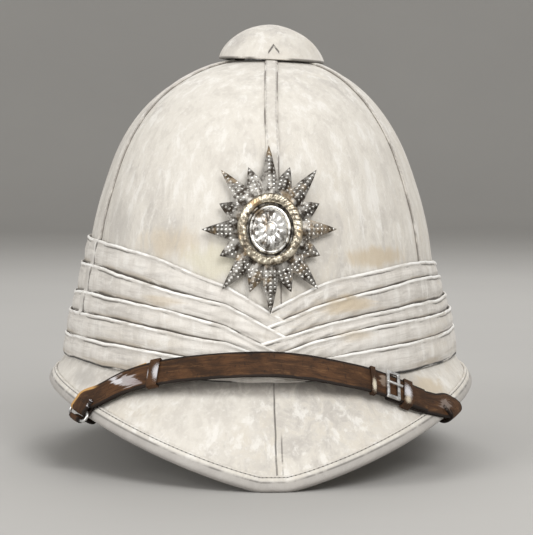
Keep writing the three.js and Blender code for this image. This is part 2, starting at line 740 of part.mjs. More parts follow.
// A square-cornered loop round the strap.
function makeKeeper({ turn, length, below }) {
  const { middle, along, across, face } = strapAxes(turn);
  const half = STRAP_WIDTH / 2 + KEEPER_GAP;
  const corners = [
    { side: 1, lift: -below - KEEPER_GAP, sign: -1 },
    { side: 1, lift: STRAP_THICKNESS + KEEPER_GAP, sign: 1 },
    { side: -1, lift: STRAP_THICKNESS + KEEPER_GAP, sign: 1 },
    { side: -1, lift: -below - KEEPER_GAP, sign: -1 },
  ];
  const rings = corners.map(({ side, lift, sign }) => {
    const point = (wall, end) => middle.clone()
      .addScaledVector(across, side * (half + wall))
      .addScaledVector(face, lift + sign * wall)
      .addScaledVector(along, (end * length) / 2);
    return [point(KEEPER_WALL, -1), point(KEEPER_WALL, 1), point(0, 1), point(0, -1)];
  });
  return loft(rings, true);
}

// A bar box between two points of the buckle's own plane.
function placed(geometry, { middle, along, across, face }, lift) {
  const axes = new THREE.Matrix4().makeBasis(across, along, face);
  geometry.applyMatrix4(axes);
  const place = middle.clone().addScaledVector(face, lift);
  geometry.translate(place.x, place.y, place.z);
  return geometry;
}

function rectangle(halfWidth, halfLength) {
  return [
    new THREE.Vector2(-halfWidth, -halfLength), new THREE.Vector2(halfWidth, -halfLength),
    new THREE.Vector2(halfWidth, halfLength), new THREE.Vector2(-halfWidth, halfLength),
  ];
}

function makeBuckleFrame() {
  const shape = new THREE.Shape(rectangle(BUCKLE_WIDTH / 2, BUCKLE_LENGTH / 2));
  shape.holes.push(new THREE.Path(rectangle(BUCKLE_WIDTH / 2 - BUCKLE_BAR, BUCKLE_LENGTH / 2 - BUCKLE_BAR)));
  const frame = new THREE.ExtrudeGeometry(shape, { depth: BUCKLE_THICKNESS, bevelEnabled: false });
  return placed(frame, strapAxes(BUCKLE_TURN), STRAP_THICKNESS + 0.35);
}

function makeProng() {
  const shape = new THREE.Shape(rectangle(PRONG_WIDTH / 2, BUCKLE_LENGTH / 2 + 1));
  const prong = new THREE.ExtrudeGeometry(shape, { depth: 1.2, bevelEnabled: false });
  return placed(prong, strapAxes(BUCKLE_TURN), STRAP_THICKNESS + BUCKLE_THICKNESS + 0.7);
}

// The wire loop that holds the strap's folded end at the brim's edge.
function makeWireLoop() {
  const centre = (bar) => aroundEdge(STRAP_LEFT_TURN, bar.out, bar.face);
  const near = centre(LOOP_BARS[0]);
  const far = centre(LOOP_BARS[1]);
  const alongRim = alongEdge(STRAP_LEFT_TURN);
  const across = far.clone().sub(near).normalize();
  const normal = alongRim.clone().cross(across).normalize();
  const corner = 1.4;
  const path = [
    { from: near, side: -1, inset: corner, step: 0 }, { from: near, side: -1, inset: 0, step: corner },
    { from: far, side: -1, inset: 0, step: -corner }, { from: far, side: -1, inset: corner, step: 0 },
    { from: far, side: 1, inset: corner, step: 0 }, { from: far, side: 1, inset: 0, step: -corner },
    { from: near, side: 1, inset: 0, step: corner }, { from: near, side: 1, inset: corner, step: 0 },
  ].map(({ from, side, inset, step }) => from.clone()
    .addScaledVector(alongRim, side * (LOOP_HALF_LENGTH - inset))
    .addScaledVector(across, step));
  return wireRing(path, normal, WIRE_RADIUS, WIRE_SIDES);
}

// A closed round wire through the points of a flat ring.
function wireRing(path, normal, radius, sides) {
  const rings = path.map((point, at) => {
    const before = path[(at + path.length - 1) % path.length];
    const after = path[(at + 1) % path.length];
    const along = after.clone().sub(before).normalize();
    const aside = along.clone().cross(normal).normalize();
    return steps(sides).map((step) => {
      const angle = (step / sides) * 2 * Math.PI;
      return point.clone()
        .addScaledVector(aside, radius * Math.cos(angle))
        .addScaledVector(normal, radius * Math.sin(angle));
    });
  });
  return loft(rings, true);
}

function makeAnchor(side) {
  const turn = side * (ANCHOR_TURN - 0.2);
  const profile = [
    new THREE.Vector2(0, 0), new THREE.Vector2(ANCHOR_RADIUS, 0),
    new THREE.Vector2(ANCHOR_RADIUS, ANCHOR_THICKNESS * 0.6),
    new THREE.Vector2(ANCHOR_RADIUS * 0.6, ANCHOR_THICKNESS), new THREE.Vector2(0, ANCHOR_THICKNESS),
  ];
  const stud = new THREE.LatheGeometry(profile, 14);
  const normal = crownNormal(turn, ANCHOR_HEIGHT).negate();
  stud.applyQuaternion(new THREE.Quaternion().setFromUnitVectors(new THREE.Vector3(0, 1, 0), normal));
  const place = crownPoint(turn, ANCHOR_HEIGHT, -CROWN_WALL - STRAP_WALL_GAP - STRAP_THICKNESS - 0.45);
  stud.translate(place.x, place.y, place.z);
  return stud;
}

// The crown's middle under the vent hole.
function ventMiddle() {
  const top = CROWN_PROFILE[CROWN_PROFILE.length - 1];
  const { middleX, middleY } = crownOval(top.height);
  return { x: middleX, y: middleY };
}

function lathedUpright(profile, segments) {
  const body = new THREE.LatheGeometry(profile, segments);
  body.rotateX(Math.PI / 2);
  const { x, y } = ventMiddle();
  body.translate(x, y, 0);
  return body;
}

function makeDome() {
  const arc = (radius, height, count) => steps(count).map((step) => {
    const angle = (step / (count - 1)) * (Math.PI / 2);
    const rise = height * Math.sin(angle) ** DOME_FULLNESS;
    return new THREE.Vector2(radius * Math.cos(angle), rise);
  });
  const outer = arc(DOME_RADIUS, DOME_HEIGHT, 7);
  const inner = arc(DOME_RADIUS - DOME_WALL, DOME_HEIGHT - DOME_WALL, 5);
  outer[outer.length - 1].x = 0;
  inner[inner.length - 1].x = 0;
  const cap = new THREE.LatheGeometry([...inner.reverse(), ...outer], 26);
  cap.rotateX(Math.PI / 2);
  cap.rotateY(DOME_TILT * DEGREE);
  const { x, y } = ventMiddle();
  cap.translate(x + DOME_SHIFT, y, DOME_BASE_HEIGHT);
  return cap;
}

function makeCollar() {
  const radius = COLLAR_RADIUS;
  const innerRadius = radius - COLLAR_WALL;
  const inside = 1 - ((radius + DOME_SHIFT) / (DOME_RADIUS - DOME_WALL)) ** 2;
  const rise = (DOME_HEIGHT - DOME_WALL) * inside ** (DOME_FULLNESS / 2);
  const top = DOME_BASE_HEIGHT + rise - COLLAR_TOP_GAP;
  const flangeTop = COLLAR_FLANGE_HEIGHT + COLLAR_WALL;
  const profile = [
    [innerRadius, COLLAR_FLANGE_HEIGHT], [COLLAR_FLANGE, COLLAR_FLANGE_HEIGHT], [COLLAR_FLANGE, flangeTop],
    [radius, flangeTop], [radius, top], [innerRadius, top], [innerRadius, COLLAR_FLANGE_HEIGHT],
  ].map(([across, height]) => new THREE.Vector2(across, height));
  return lathedUpright(profile, 20);
}

// A point of the plate: across and up along the crown's front, and its lift off the crown.
function platePoint(across, up, lift) {
  const height = BADGE_HEIGHT + up * BADGE_SLOPE;
  const { halfWidth } = crownOval(height);
  const turn = Math.asin(across / halfWidth) / DEGREE;
  return crownPoint(turn, height, lift);
}

function starOutline() {
  return steps(STAR_RAYS * 2).map((step) => {
    const angle = (step / (STAR_RAYS * 2)) * 2 * Math.PI;
    const ray = step % 4 === 0 ? 1 : STAR_SHORT_RAY;
    const share = step % 2 === 0 ? ray : STAR_VALLEY;
    return {
      across: share * STAR_HALF_WIDTH * Math.sin(angle),
      up: share * STAR_HALF_HEIGHT * Math.cos(angle),
      isRidge: step % 2 === 0,
    };
  });
}

// Plate body from concentric outlines: its face, its edge and its back, with a point in each middle.
function makeStar() {
  const outline = starOutline();
  const face = STAR_RINGS.map(({ share, ridge, valley }) => outline.map(({ across, up, isRidge }) => (
    platePoint(across * share, up * share, BADGE_STANDOFF + (isRidge ? ridge : valley))
  )));
  const back = [...STAR_RINGS].reverse().map(({ share }) => outline.map(({ across, up }) => (
    platePoint(across * share, up * share, BADGE_STANDOFF)
  )));
  const frontMiddle = platePoint(0, 0, BADGE_STANDOFF + STAR_RINGS[0].ridge);
  return pointedLoft([...face, ...back], frontMiddle, platePoint(0, 0, BADGE_STANDOFF));
}

// A loft closed at both ends by a fan round a middle point.
function pointedLoft(rings, firstMiddle, lastMiddle) {
  const count = rings[0].length;
  const points = [...rings.flat(), firstMiddle, lastMiddle];
  const positions = points.flatMap((point) => [point.x, point.y, point.z]);
  const first = points.length - 2;
  const last = points.length - 1;
  const lastRing = (rings.length - 1) * count;
  const index = [];
  for (const side of steps(count)) {
    const after = (side + 1) % count;
    index.push(first, after, side);
    index.push(last, lastRing + side, lastRing + after);
    for (const ring of steps(rings.length - 1)) {
      const here = ring * count;
      const next = here + count;
      index.push(here + side, here + after, next + after);
      index.push(here + side, next + after, next + side);
    }
  }
  return turnedOut(positions, index);
}

function makeBadgeRing() {
  const lift = BADGE_STANDOFF + STAR_RINGS[0].ridge + RING_THICKNESS + 0.75;
  const rings = steps(RING_STEPS).map((step) => {
    const angle = (step / RING_STEPS) * 2 * Math.PI;
    return steps(6).map((side) => {
      const round = (side / 6) * 2 * Math.PI;
      const spread = RING_THICKNESS * Math.cos(round);
      return platePoint(
        (RING_HALF_WIDTH + spread) * Math.sin(angle),
        (RING_HALF_HEIGHT + spread) * Math.cos(angle),
        lift + RING_THICKNESS * Math.sin(round),
      );
    });
  });
  return loft(rings, true);
}

function makeBoss() {
  const rows = [
    { share: 1, lift: 0 }, { share: 1, lift: 1 }, { share: 0.8, lift: 0.35 * BOSS_RISE + 1 },
    { share: 0.45, lift: 0.85 * BOSS_RISE },
  ];
  const base = BADGE_STANDOFF + BOSS_BASE;
  const rings = rows.map(({ share, lift }) => steps(BOSS_STEPS).map((step) => {
    const angle = (step / BOSS_STEPS) * 2 * Math.PI;
    const across = share * BOSS_HALF_WIDTH * Math.sin(angle);
    return platePoint(across, share * BOSS_HALF_HEIGHT * Math.cos(angle), base + lift);
  }));
  return pointedLoft(rings, platePoint(0, 0, base), platePoint(0, 0, base + BOSS_RISE));
}

function makeBackBar() {
  const lift = CLOTH_GAP + TAPE_CLOTH + 0.3;
  const stations = steps(5).map((step) => {
    const up = (step / 4 - 0.5) * BACK_BAR_LENGTH;
    return {
      middle: platePoint(0, up, lift),
      face: crownNormal(0, BADGE_HEIGHT + up * BADGE_SLOPE),
      width: BACK_BAR_WIDTH,
    };
  });
  return makeRibbon(stations, BADGE_STANDOFF - lift - 0.3);
}

function part(name, geometry, material) {
  const mesh = new THREE.Mesh(geometry, material);
  mesh.name = name;
  return mesh;
}

function finish(color, roughness, metalness) {
  return new THREE.MeshStandardMaterial({ color, roughness, metalness });
}

const cloth = finish('#e9e4da', 0.9, 0);
const scarf = finish('#ece7dc', 0.95, 0);
const leather = finish('#4a2c18', 0.5, 0);
const steel = finish('#b9bbbd', 0.3, 1);
const silver = finish('#aaa69c', 0.35, 1);
const gilt = finish('#b08d4a', 0.35, 1);

const helmet = new THREE.Group();
const pieces = [
  ...CROWN_PANELS.map((panel) => [panel.name, makeCrownPanel(panel), cloth]),
  ['brim', makeBrim(), cloth],
  ['brim_binding', makeBinding(), cloth],
  ...TAPES.map(({ name, turn }) => [name, makeTape(turn), cloth]),
  ['puggaree', makePuggaree(), scarf],
  ['puggaree_join', makeJoin(), scarf],
  ['ventilator_collar', makeCollar(), steel],
  ['ventilator_dome', makeDome(), cloth],
  ['strap_long', makeRibbon(strapLongStations(), STRAP_THICKNESS), leather],
  ['strap_short', makeRibbon(strapShortStations(), STRAP_THICKNESS), leather],
  ['strap_inner_left', makeRibbon(tabStations(), STRAP_THICKNESS), leather],
  ...KEEPERS.map((keeper) => [keeper.name, makeKeeper(keeper), leather]),
  ['buckle_frame', makeBuckleFrame(), steel],
  ['buckle_prong', makeProng(), steel],
  ['strap_loop_left', makeWireLoop(), steel],
  ['anchor_left', makeAnchor(-1), steel],
  ['anchor_right', makeAnchor(1), steel],
  ['badge_back_bar', makeBackBar(), steel],
  ['badge_star', makeStar(), silver],
  ['badge_ring', makeBadgeRing(), gilt],
  ['badge_boss', makeBoss(), silver],
];
for (const [name, geometry, material] of pieces) {
  helmet.add(part(name, geometry, material));
}

// The origin is the middle of the space that the helmet takes up on the table.
const space = new THREE.Box3().setFromObject(helmet);
const middle = space.getCenter(new THREE.Vector3());
helmet.position.set(-middle.x, -middle.y, -space.min.z);

export default helmet;
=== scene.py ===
# %% [markdown]
# # Dressing a white pith helmet
# The helmet comes from its CAD model as a fixed frame of plain solids. Each of them is either kept and
# given a real finish here, or hidden and stood in for by a finer piece of the same place and size.
# Lengths are written in millimetres, as a hatter would, and turned into Blender's metres by `MM`.

import math

import bpy
from mathutils import Matrix, Vector, noise


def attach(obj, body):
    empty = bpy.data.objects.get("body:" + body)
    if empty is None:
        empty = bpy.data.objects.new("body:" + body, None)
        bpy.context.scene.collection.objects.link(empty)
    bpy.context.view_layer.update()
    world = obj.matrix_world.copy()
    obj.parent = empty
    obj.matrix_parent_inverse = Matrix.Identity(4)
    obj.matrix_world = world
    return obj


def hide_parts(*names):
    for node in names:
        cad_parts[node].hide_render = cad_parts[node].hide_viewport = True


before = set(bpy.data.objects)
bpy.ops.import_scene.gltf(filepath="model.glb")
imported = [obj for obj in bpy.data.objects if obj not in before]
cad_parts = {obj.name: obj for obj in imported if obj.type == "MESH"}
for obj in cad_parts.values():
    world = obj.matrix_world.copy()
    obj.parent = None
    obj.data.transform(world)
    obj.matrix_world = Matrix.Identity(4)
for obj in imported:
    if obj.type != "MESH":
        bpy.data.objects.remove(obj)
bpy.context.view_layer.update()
MM = 0.001
print("loaded", len(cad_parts), "nodes")

# %% [markdown]
# ## Hand tools
# Blender's operators act on whatever is selected, as hands act on what lies on the bench. These helpers
# clear the bench, name what was just added, go in and out of Edit Mode, and apply a modifier at once.
# Each later step then says only what it does to its own piece.

# %% Hand tools


def select_only(piece=None):
    """Clears the selection, and then selects the one piece that is given."""
    bpy.ops.object.select_all(action="DESELECT")
    if piece:
        piece.select_set(True)
        bpy.context.view_layer.objects.active = piece


def added(name):
    """What an operator has just added, under a name of its own."""
    thing = bpy.context.object
    thing.name = thing.data.name = name
    return thing


def start_edit(action="SELECT"):
    """Goes into Edit Mode and selects all of the mesh, or nothing."""
    bpy.ops.object.mode_set(mode="EDIT")
    bpy.ops.mesh.select_all(action=action)


def end_edit():
    bpy.ops.object.mode_set(mode="OBJECT")


def stretch_all(length, width, height):
    """Stretches what is selected, from the origin, by these sides in millimetres."""
    bpy.ops.transform.resize(value=(length * MM, width * MM, height * MM), center_override=(0, 0, 0))


def apply_modifier(piece, kind, **settings):
    """Gives a piece a modifier with these settings and makes it part of the mesh."""
    modifier = piece.modifiers.new(kind.lower(), kind)
    for setting, value in settings.items():
        setattr(modifier, setting, value)
    bpy.ops.object.modifier_apply(modifier=modifier.name)


select_only()
print("left selected:", len(bpy.context.selected_objects))

# %% [markdown]
# ## The camera
# The picture is taken from in front, a little to the helmet's right and a little above its middle, with
# a long lens, so the far brim stays hidden. A camera looks along its own -Z, and `to_track_quat` turns
# that way onto the line from the camera to the point it looks at.

# %% Camera
CAMERA_PLACE = Vector((-59, -1306.2, 190))
CAMERA_AIM = Vector((4, -7.5, 107.2))
CAMERA_LENS = 147.5


def look_at(thing, aim):
    """Turns a light or camera so that it looks at a point."""
    thing.rotation_euler = (aim - thing.location).to_track_quat("-Z", "Y").to_euler()


bpy.ops.object.camera_add(location=CAMERA_PLACE * MM)
camera = added("camera")
camera.data.lens = CAMERA_LENS
camera.data.sensor_fit = "HORIZONTAL"
camera.data.clip_end = 20
look_at(camera, CAMERA_AIM * MM)
bpy.context.scene.camera = camera
print("camera at", tuple(round(value, 3) for value in camera.location))

# %% [markdown]
# ## Floor and light
# White cloth only reads as white against something a little darker, so the floor is a pale warm grey.
# It is a plane whose far edge is extruded up to a wall, and the corner between them is bevelled into a
# sweep, so no line crosses the picture. Large soft lights keep the shadows of the folds gentle.

# %% Floor
FLOOR_SIDE = 6
FLOOR_MIDDLE = 1.2
BACKDROP_HEIGHT = 5
SWEEP_RADIUS = 1.4
SWEEP_STEPS = 16

bpy.ops.mesh.primitive_plane_add(size=FLOOR_SIDE, location=(0, FLOOR_MIDDLE, 0))
floor = added("floor")
start_edit("DESELECT")
end_edit()
for edge in floor.data.edges:
    edge.select = all(floor.data.vertices[at].co.y > FLOOR_SIDE / 2 - 0.1 for at in edge.vertices)
bpy.ops.object.mode_set(mode="EDIT")
bpy.ops.mesh.extrude_region_move(TRANSFORM_OT_translate={"value": (0, 0, BACKDROP_HEIGHT)})
end_edit()
apply_modifier(floor, "BEVEL", width=SWEEP_RADIUS, segments=SWEEP_STEPS)
bpy.ops.object.shade_smooth()
print("floor and backdrop:", len(floor.data.polygons), "faces")

# %% Lights
LAMP_AIM = Vector((0, 0, 120))
WORLD_COLOUR = (1, 0.985, 0.96, 1)
WORLD_STRENGTH = 0.56


def soft_light(name, place, side, watts):
    """A square lamp of this side that looks at the helmet."""
    bpy.ops.object.light_add(type="AREA", location=Vector(place) * MM)
    lamp = added(name)
    lamp.data.size = side * MM
    lamp.data.energy = watts
    look_at(lamp, LAMP_AIM * MM)
    print(name, "at", place)


soft_light("key_light", (600, -1550, 1350), 900, 25)
soft_light("fill_light", (-1400, -1150, 650), 1200, 15)
soft_light("back_light", (200, 1300, 1400), 1200, 14)
world = bpy.data.worlds.new("studio")
bpy.context.scene.world = world
world.use_nodes = True
world.node_tree.nodes["Background"].inputs["Color"].default_value = WORLD_COLOUR
world.node_tree.nodes["Background"].inputs["Strength"].default_value = WORLD_STRENGTH
bpy.context.scene.view_settings.view_transform = "Standard"

# %% [markdown]
# ## Writing materials as sums
# A shader is a web of small nodes, and most of them only add, multiply or compare numbers. The class
# `Tone` holds one socket and knows Python's own operators, so `1 - mask * 0.4` adds the Math nodes by
# itself. Its three other words draw edges, lines and stitches.

# %% Tones


class Tone:
    """One number of a material that changes over the surface."""

    def __init__(self, finish, socket):
        self.finish = finish
        self.socket = socket

    def maths(self, operation, *others):
        return self.finish.node("ShaderNodeMath", {"operation": operation}, [self, *others])

    def __add__(self, other):
        return self.maths("ADD", other)

    __radd__ = __add__

    def __mul__(self, other):
        return self.maths("MULTIPLY", other)

    __rmul__ = __mul__

    def __sub__(self, other):
        return self.maths("SUBTRACT", other)

    def __rsub__(self, other):
        return self.finish.node("ShaderNodeMath", {"operation": "SUBTRACT"}, [other, self])

    def __truediv__(self, other):
        return self.maths("DIVIDE", other)

    def __abs__(self):
        return self.maths("ABSOLUTE")

    def between(self, low, high):
        """0 below low, 1 above high and a smooth step between; high may be the smaller one."""
        limits = {"Value": self, "From Min": low, "From Max": high}
        return self.finish.node("ShaderNodeMapRange", {"interpolation_type": "SMOOTHSTEP"}, limits)

    def line(self, middle, outer, inner):
        """A line along one value: 1 closer to it than inner, 0 farther from it than outer."""
        return abs(self - middle).between(outer, inner)

    def every(self, length):
        """Runs from 0 to 1 again and again, once in each length."""
        return (self / length).maths("FRACT")

# %% [markdown]
# ## One class for every material
# `Finish` holds one material. Its `node` makes any node from its type, its settings and what goes into its
# sockets. A finish starts with one colour, and each thing that happened to the real surface is painted over
# that where its mask is 1, so a material reads as the surface's history; some masks paint shade, shadow or
# highlights instead.

# %% Finishes


class Finish:
    """One material, started from the roughness and metal of its plain state."""

    def __init__(self, name, roughness, metallic=0.0):
        self.material = bpy.data.materials.new(name)
        self.material.use_nodes = True
        self.tree = self.material.node_tree
        self.shader = self.tree.nodes["Principled BSDF"]
        self.shader.inputs["Roughness"].default_value = roughness
        self.shader.inputs["Metallic"].default_value = metallic
        self.last_normal = None
        self.spot = self.place()

    def node(self, kind, settings=None, inputs=None, output=0):
        made = self.tree.nodes.new(kind)
        for setting, value in (settings or {}).items():
            setattr(made, setting, value)
        pairs = enumerate(inputs) if isinstance(inputs, list) else (inputs or {}).items()
        for key, value in pairs:
            self.feed(made.inputs[key], value)
        return Tone(self, made.outputs[output])

    def feed(self, socket, value):
        if isinstance(value, Tone):
            self.tree.links.new(value.socket, socket)
        elif isinstance(value, (tuple, list)) and socket.type == "RGBA" and len(value) == 3:
            socket.default_value = (*value, 1)
        else:
            socket.default_value = value

    def place(self, kind="Object", stretch=(1, 1, 1), turn=(0, 0, 0)):
        """Where a point of the surface is: in metres, or on the piece's own UV map."""
        spot = self.node("ShaderNodeTexCoord", output=kind)
        if stretch == (1, 1, 1) and turn == (0, 0, 0):
            return spot
        return self.node("ShaderNodeMapping", None, {"Vector": spot, "Scale": stretch, "Rotation": turn})

    def noise(self, spot, scale, detail=4, roughness=0.55, distortion=0):
        inputs = {"Vector": spot, "Scale": scale, "Detail": detail}
        inputs |= {"Roughness": roughness, "Distortion": distortion}
        return self.node("ShaderNodeTexNoise", None, inputs)

    def along(self, spot, axis):
        return self.node("ShaderNodeSeparateXYZ", None, {"Vector": spot}, output=axis)

    def mix(self, share, start, end):
        inputs = {"Factor": share, 6: start, 7: end}
        return self.node("ShaderNodeMix", {"data_type": "RGBA"}, inputs, output=2)

    def paint(self, mask, colour):
        """Lays a colour over what is there already, where the mask is 1."""
        self.colour = self.mix(mask, self.colour, colour)

    def reaches_from(self, middle, reach):
        """How far a point of the surface is from a point of the helmet, counted in reaches."""
        away = self.node("ShaderNodeVectorMath", {"operation": "SUBTRACT"}, [self.spot, Vector(middle) * MM])
        counted = self.node("ShaderNodeVectorMath", {"operation": "DIVIDE"}, [away, Vector(reach) * MM])
        return self.node("ShaderNodeVectorMath", {"operation": "LENGTH"}, [counted], output="Value")

    def set(self, socket, value):
        self.feed(self.shader.inputs[socket], value)

    def bump(self, height, strength, depth):
        """Raises the surface by depth, in millimetres, where height is 1. Calls add up."""
        inputs = {"Height": height, "Strength": strength, "Distance": depth * MM}
        if self.last_normal:
            inputs["Normal"] = self.last_normal
        self.last_normal = self.node("ShaderNodeBump", None, inputs)
        self.set("Normal", self.last_normal)


FLOOR_GREY = (0.40, 0.39, 0.375)
FLOOR_PALE = (0.44, 0.43, 0.41)
floor_finish = Finish("floor_paint", 0.9)
floor_mottle = floor_finish.noise(floor_finish.spot, scale=3)
floor_finish.set("Base Color", floor_finish.mix(floor_mottle, FLOOR_GREY, FLOOR_PALE))
floor.data.materials.append(floor_finish.material)
print("floor paint:", len(floor_finish.tree.nodes), "nodes")

# %% [markdown]
# ## The form of the crown
# A pith crown is an oval that narrows upwards. One table gives half its width at each height, and an
# eased reading of it gives every height between. The same table stands in the CAD source, so whatever
# is built on `crown_point` here lies on the CAD solids with no fitting.

# %% Crown form
CENTRE_SHIFT_Y = -7.476
CROWN_PROFILE = [
    (50, 108.2), (64, 107.3), (86, 105), (104, 102.8), (128, 99.5), (140, 96.9), (152, 93.6), (170, 87.5),
    (182, 82.3), (194, 75.2), (205, 66.4), (214, 56.4), (221, 45.5), (226, 34), (229, 22), (229.8, 16),
]
CROWN_EXTRA_LENGTH = 17
CROWN_BASE_HEIGHT = 57
CROWN_FORWARD_LEAN = 0.06
CROWN_SIDE_LEAN = 6
SIDE_LEAN_START = 160
SIDE_LEAN_FULL = 235
TINY_STEP = 0.05


def between(rows, column, key):
    """A table's column at a key between its rows, eased so that it has no corner at a row."""
    if key <= rows[0][0]:
        return rows[0][column]
    if key >= rows[-1][0]:
        return rows[-1][column]
    at = next(place for place, row in enumerate(rows) if row[0] > key) - 1
    before, low = rows[max(at - 1, 0)], rows[at]
    high, after = rows[at + 1], rows[min(at + 2, len(rows) - 1)]
    span = high[0] - low[0]
    slope_low = (high[column] - before[column]) / (high[0] - before[0]) * span
    slope_high = (after[column] - low[column]) / (after[0] - low[0]) * span
    return eased(low[column], slope_low, high[column], slope_high, (key - low[0]) / span)


def eased(start, slope_start, end, slope_end, share):
    """The cubic that leaves start with one slope and comes to end with the other."""
    square, cube = share ** 2, share ** 3
    left = start * (2 * cube - 3 * square + 1) + slope_start * (cube - 2 * square + share)
    return left + end * (3 * square - 2 * cube) + slope_end * (cube - square)


def crown_oval(height):
    """The oval at a height: its middle and its two half axes."""
    half_width = between(CROWN_PROFILE, 1, height)
    share = (half_width - CROWN_PROFILE[-1][1]) / (CROWN_PROFILE[0][1] - CROWN_PROFILE[-1][1])
    lean = min(max((height - SIDE_LEAN_START) / (SIDE_LEAN_FULL - SIDE_LEAN_START), 0), 1)
    middle_x = CROWN_SIDE_LEAN * lean ** 4
    middle_y = CENTRE_SHIFT_Y - CROWN_FORWARD_LEAN * (height - CROWN_BASE_HEIGHT)
    return middle_x, middle_y, half_width, half_width + CROWN_EXTRA_LENGTH * share


def crown_point(turn, height, offset=0.0):
    """A point of the crown's outer face; turn is in degrees from the front towards +X."""
    middle_x, middle_y, half_width, half_length = crown_oval(height)
    aside, ahead = half_width * math.sin(math.radians(turn)), half_length * math.cos(math.radians(turn))
    point = Vector((middle_x + aside, middle_y - ahead, height))
    return point + crown_normal(turn, height) * offset if offset else point


def crown_normal(turn, height):
    """The way the crown faces at a point, from two short steps beside it."""
    along = crown_point(turn + TINY_STEP, height) - crown_point(turn - TINY_STEP, height)
    rise = crown_point(turn, height + TINY_STEP) - crown_point(turn, height - TINY_STEP)
    return along.cross(rise).normalized()


def outward(turn):
    """The level direction that faces away from the crown at a turn."""
    normal = crown_normal(turn, CROWN_BASE_HEIGHT)
    return Vector((normal.x, normal.y, 0)).normalized()


print("crown 200 mm up is", round(2 * crown_oval(200)[2]), "mm wide")

# %% [markdown]
# ## Laying cloth on a form
# Cloth that lies on a form is easiest to make as a flat grid first, like the cut cloth itself, and to
# lay it down after: each corner of the grid knows how far along and how far up the cloth it is, and a
# small function says where that place of the cloth lies. The grid's own UV map stays on it, stretched
# to metres, so a weave drawn on the UV map follows the cloth round every fold.

# %% Cloth helpers
WELD_DISTANCE = 0.01
SHARP_EDGE = math.radians(50)


def laid_cloth(name, columns, rows, size, lay, ring=False):
    """A grid of columns by rows whose place (along, up), each from 0 to 1, is laid at lay(along, up)."""
    select_only()
    bpy.ops.mesh.primitive_grid_add(x_subdivisions=columns, y_subdivisions=rows, size=1, calc_uvs=True)
    piece = added(name)
    for corner in piece.data.vertices:
        corner.co = lay(corner.co.x + 0.5, corner.co.y + 0.5) * MM
    for spot in piece.data.uv_layers[0].data:
        spot.uv = (spot.uv.x * size[0] * MM, spot.uv.y * size[1] * MM)
    if ring:
        start_edit()
        bpy.ops.mesh.remove_doubles(threshold=WELD_DISTANCE * MM)
        end_edit()
    return piece


def thicken(piece, thickness, rim=0.0, segments=2):
    """Gives the cloth its thickness, inwards from its face, and rounds the rim by a bevel."""
    select_only(piece)
    apply_modifier(piece, "SOLIDIFY", thickness=thickness * MM, offset=-1, use_even_offset=False)
    if rim:
        rounding = {"width": rim * MM, "segments": segments, "limit_method": "ANGLE"}
        apply_modifier(piece, "BEVEL", angle_limit=SHARP_EDGE, **rounding)


def finished(piece, finish, slot, *nodes, angle=40):
    """The last step of every piece: smooth shading, its finish, its body and the nodes it stands for."""
    select_only(piece)
    bpy.ops.object.shade_smooth_by_angle(angle=math.radians(angle))
    piece.data.materials.clear()
    piece.data.materials.append(finish.material)
    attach(piece, "root")
    if nodes:
        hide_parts(*nodes)
    sides = zip(*(corner.co / MM for corner in piece.data.vertices))
    size = " x ".join(f"{max(side) - min(side):.1f}" for side in sides)
    print(f"{piece.name}: {len(piece.data.polygons)} faces, {size} mm")


def ripple(point, depth, length, seed=0.0):
    """A smooth random wave this deep either way, which changes over about this length."""
    return depth * noise.noise(Vector(point) / length + Vector((seed, seed * 1.7, -seed)))

# %% [markdown]
# ## Whitened drill cloth
# The shell is covered in cotton drill, whitened again and again with a paste that dries in strokes, so
# the white is never even: grey where it has worn thin, warm where the cloth shows, and a little yellow
# where water has stood. Noises of different size make those patches. One is stretched along the height,
# as the brush went, and one is turned like slanting dabs. The weave is two fine waves that cross, and
# only the bump sees it.

# %% Cloth finish
WHITE = (0.655, 0.62, 0.56)
CHALK = (0.76, 0.735, 0.69)
DAB = (0.53, 0.495, 0.445)
GREY = (0.44, 0.41, 0.375)
WARM = (0.55, 0.495, 0.41)
BAND_TO_LENGTH = 0.314
SLANT_STRETCH = (2.2, 2.2, 0.55)
SLANT_TURN = (0.2, 0.62, 0.25)
BLOT_RAGGEDNESS = 1.6


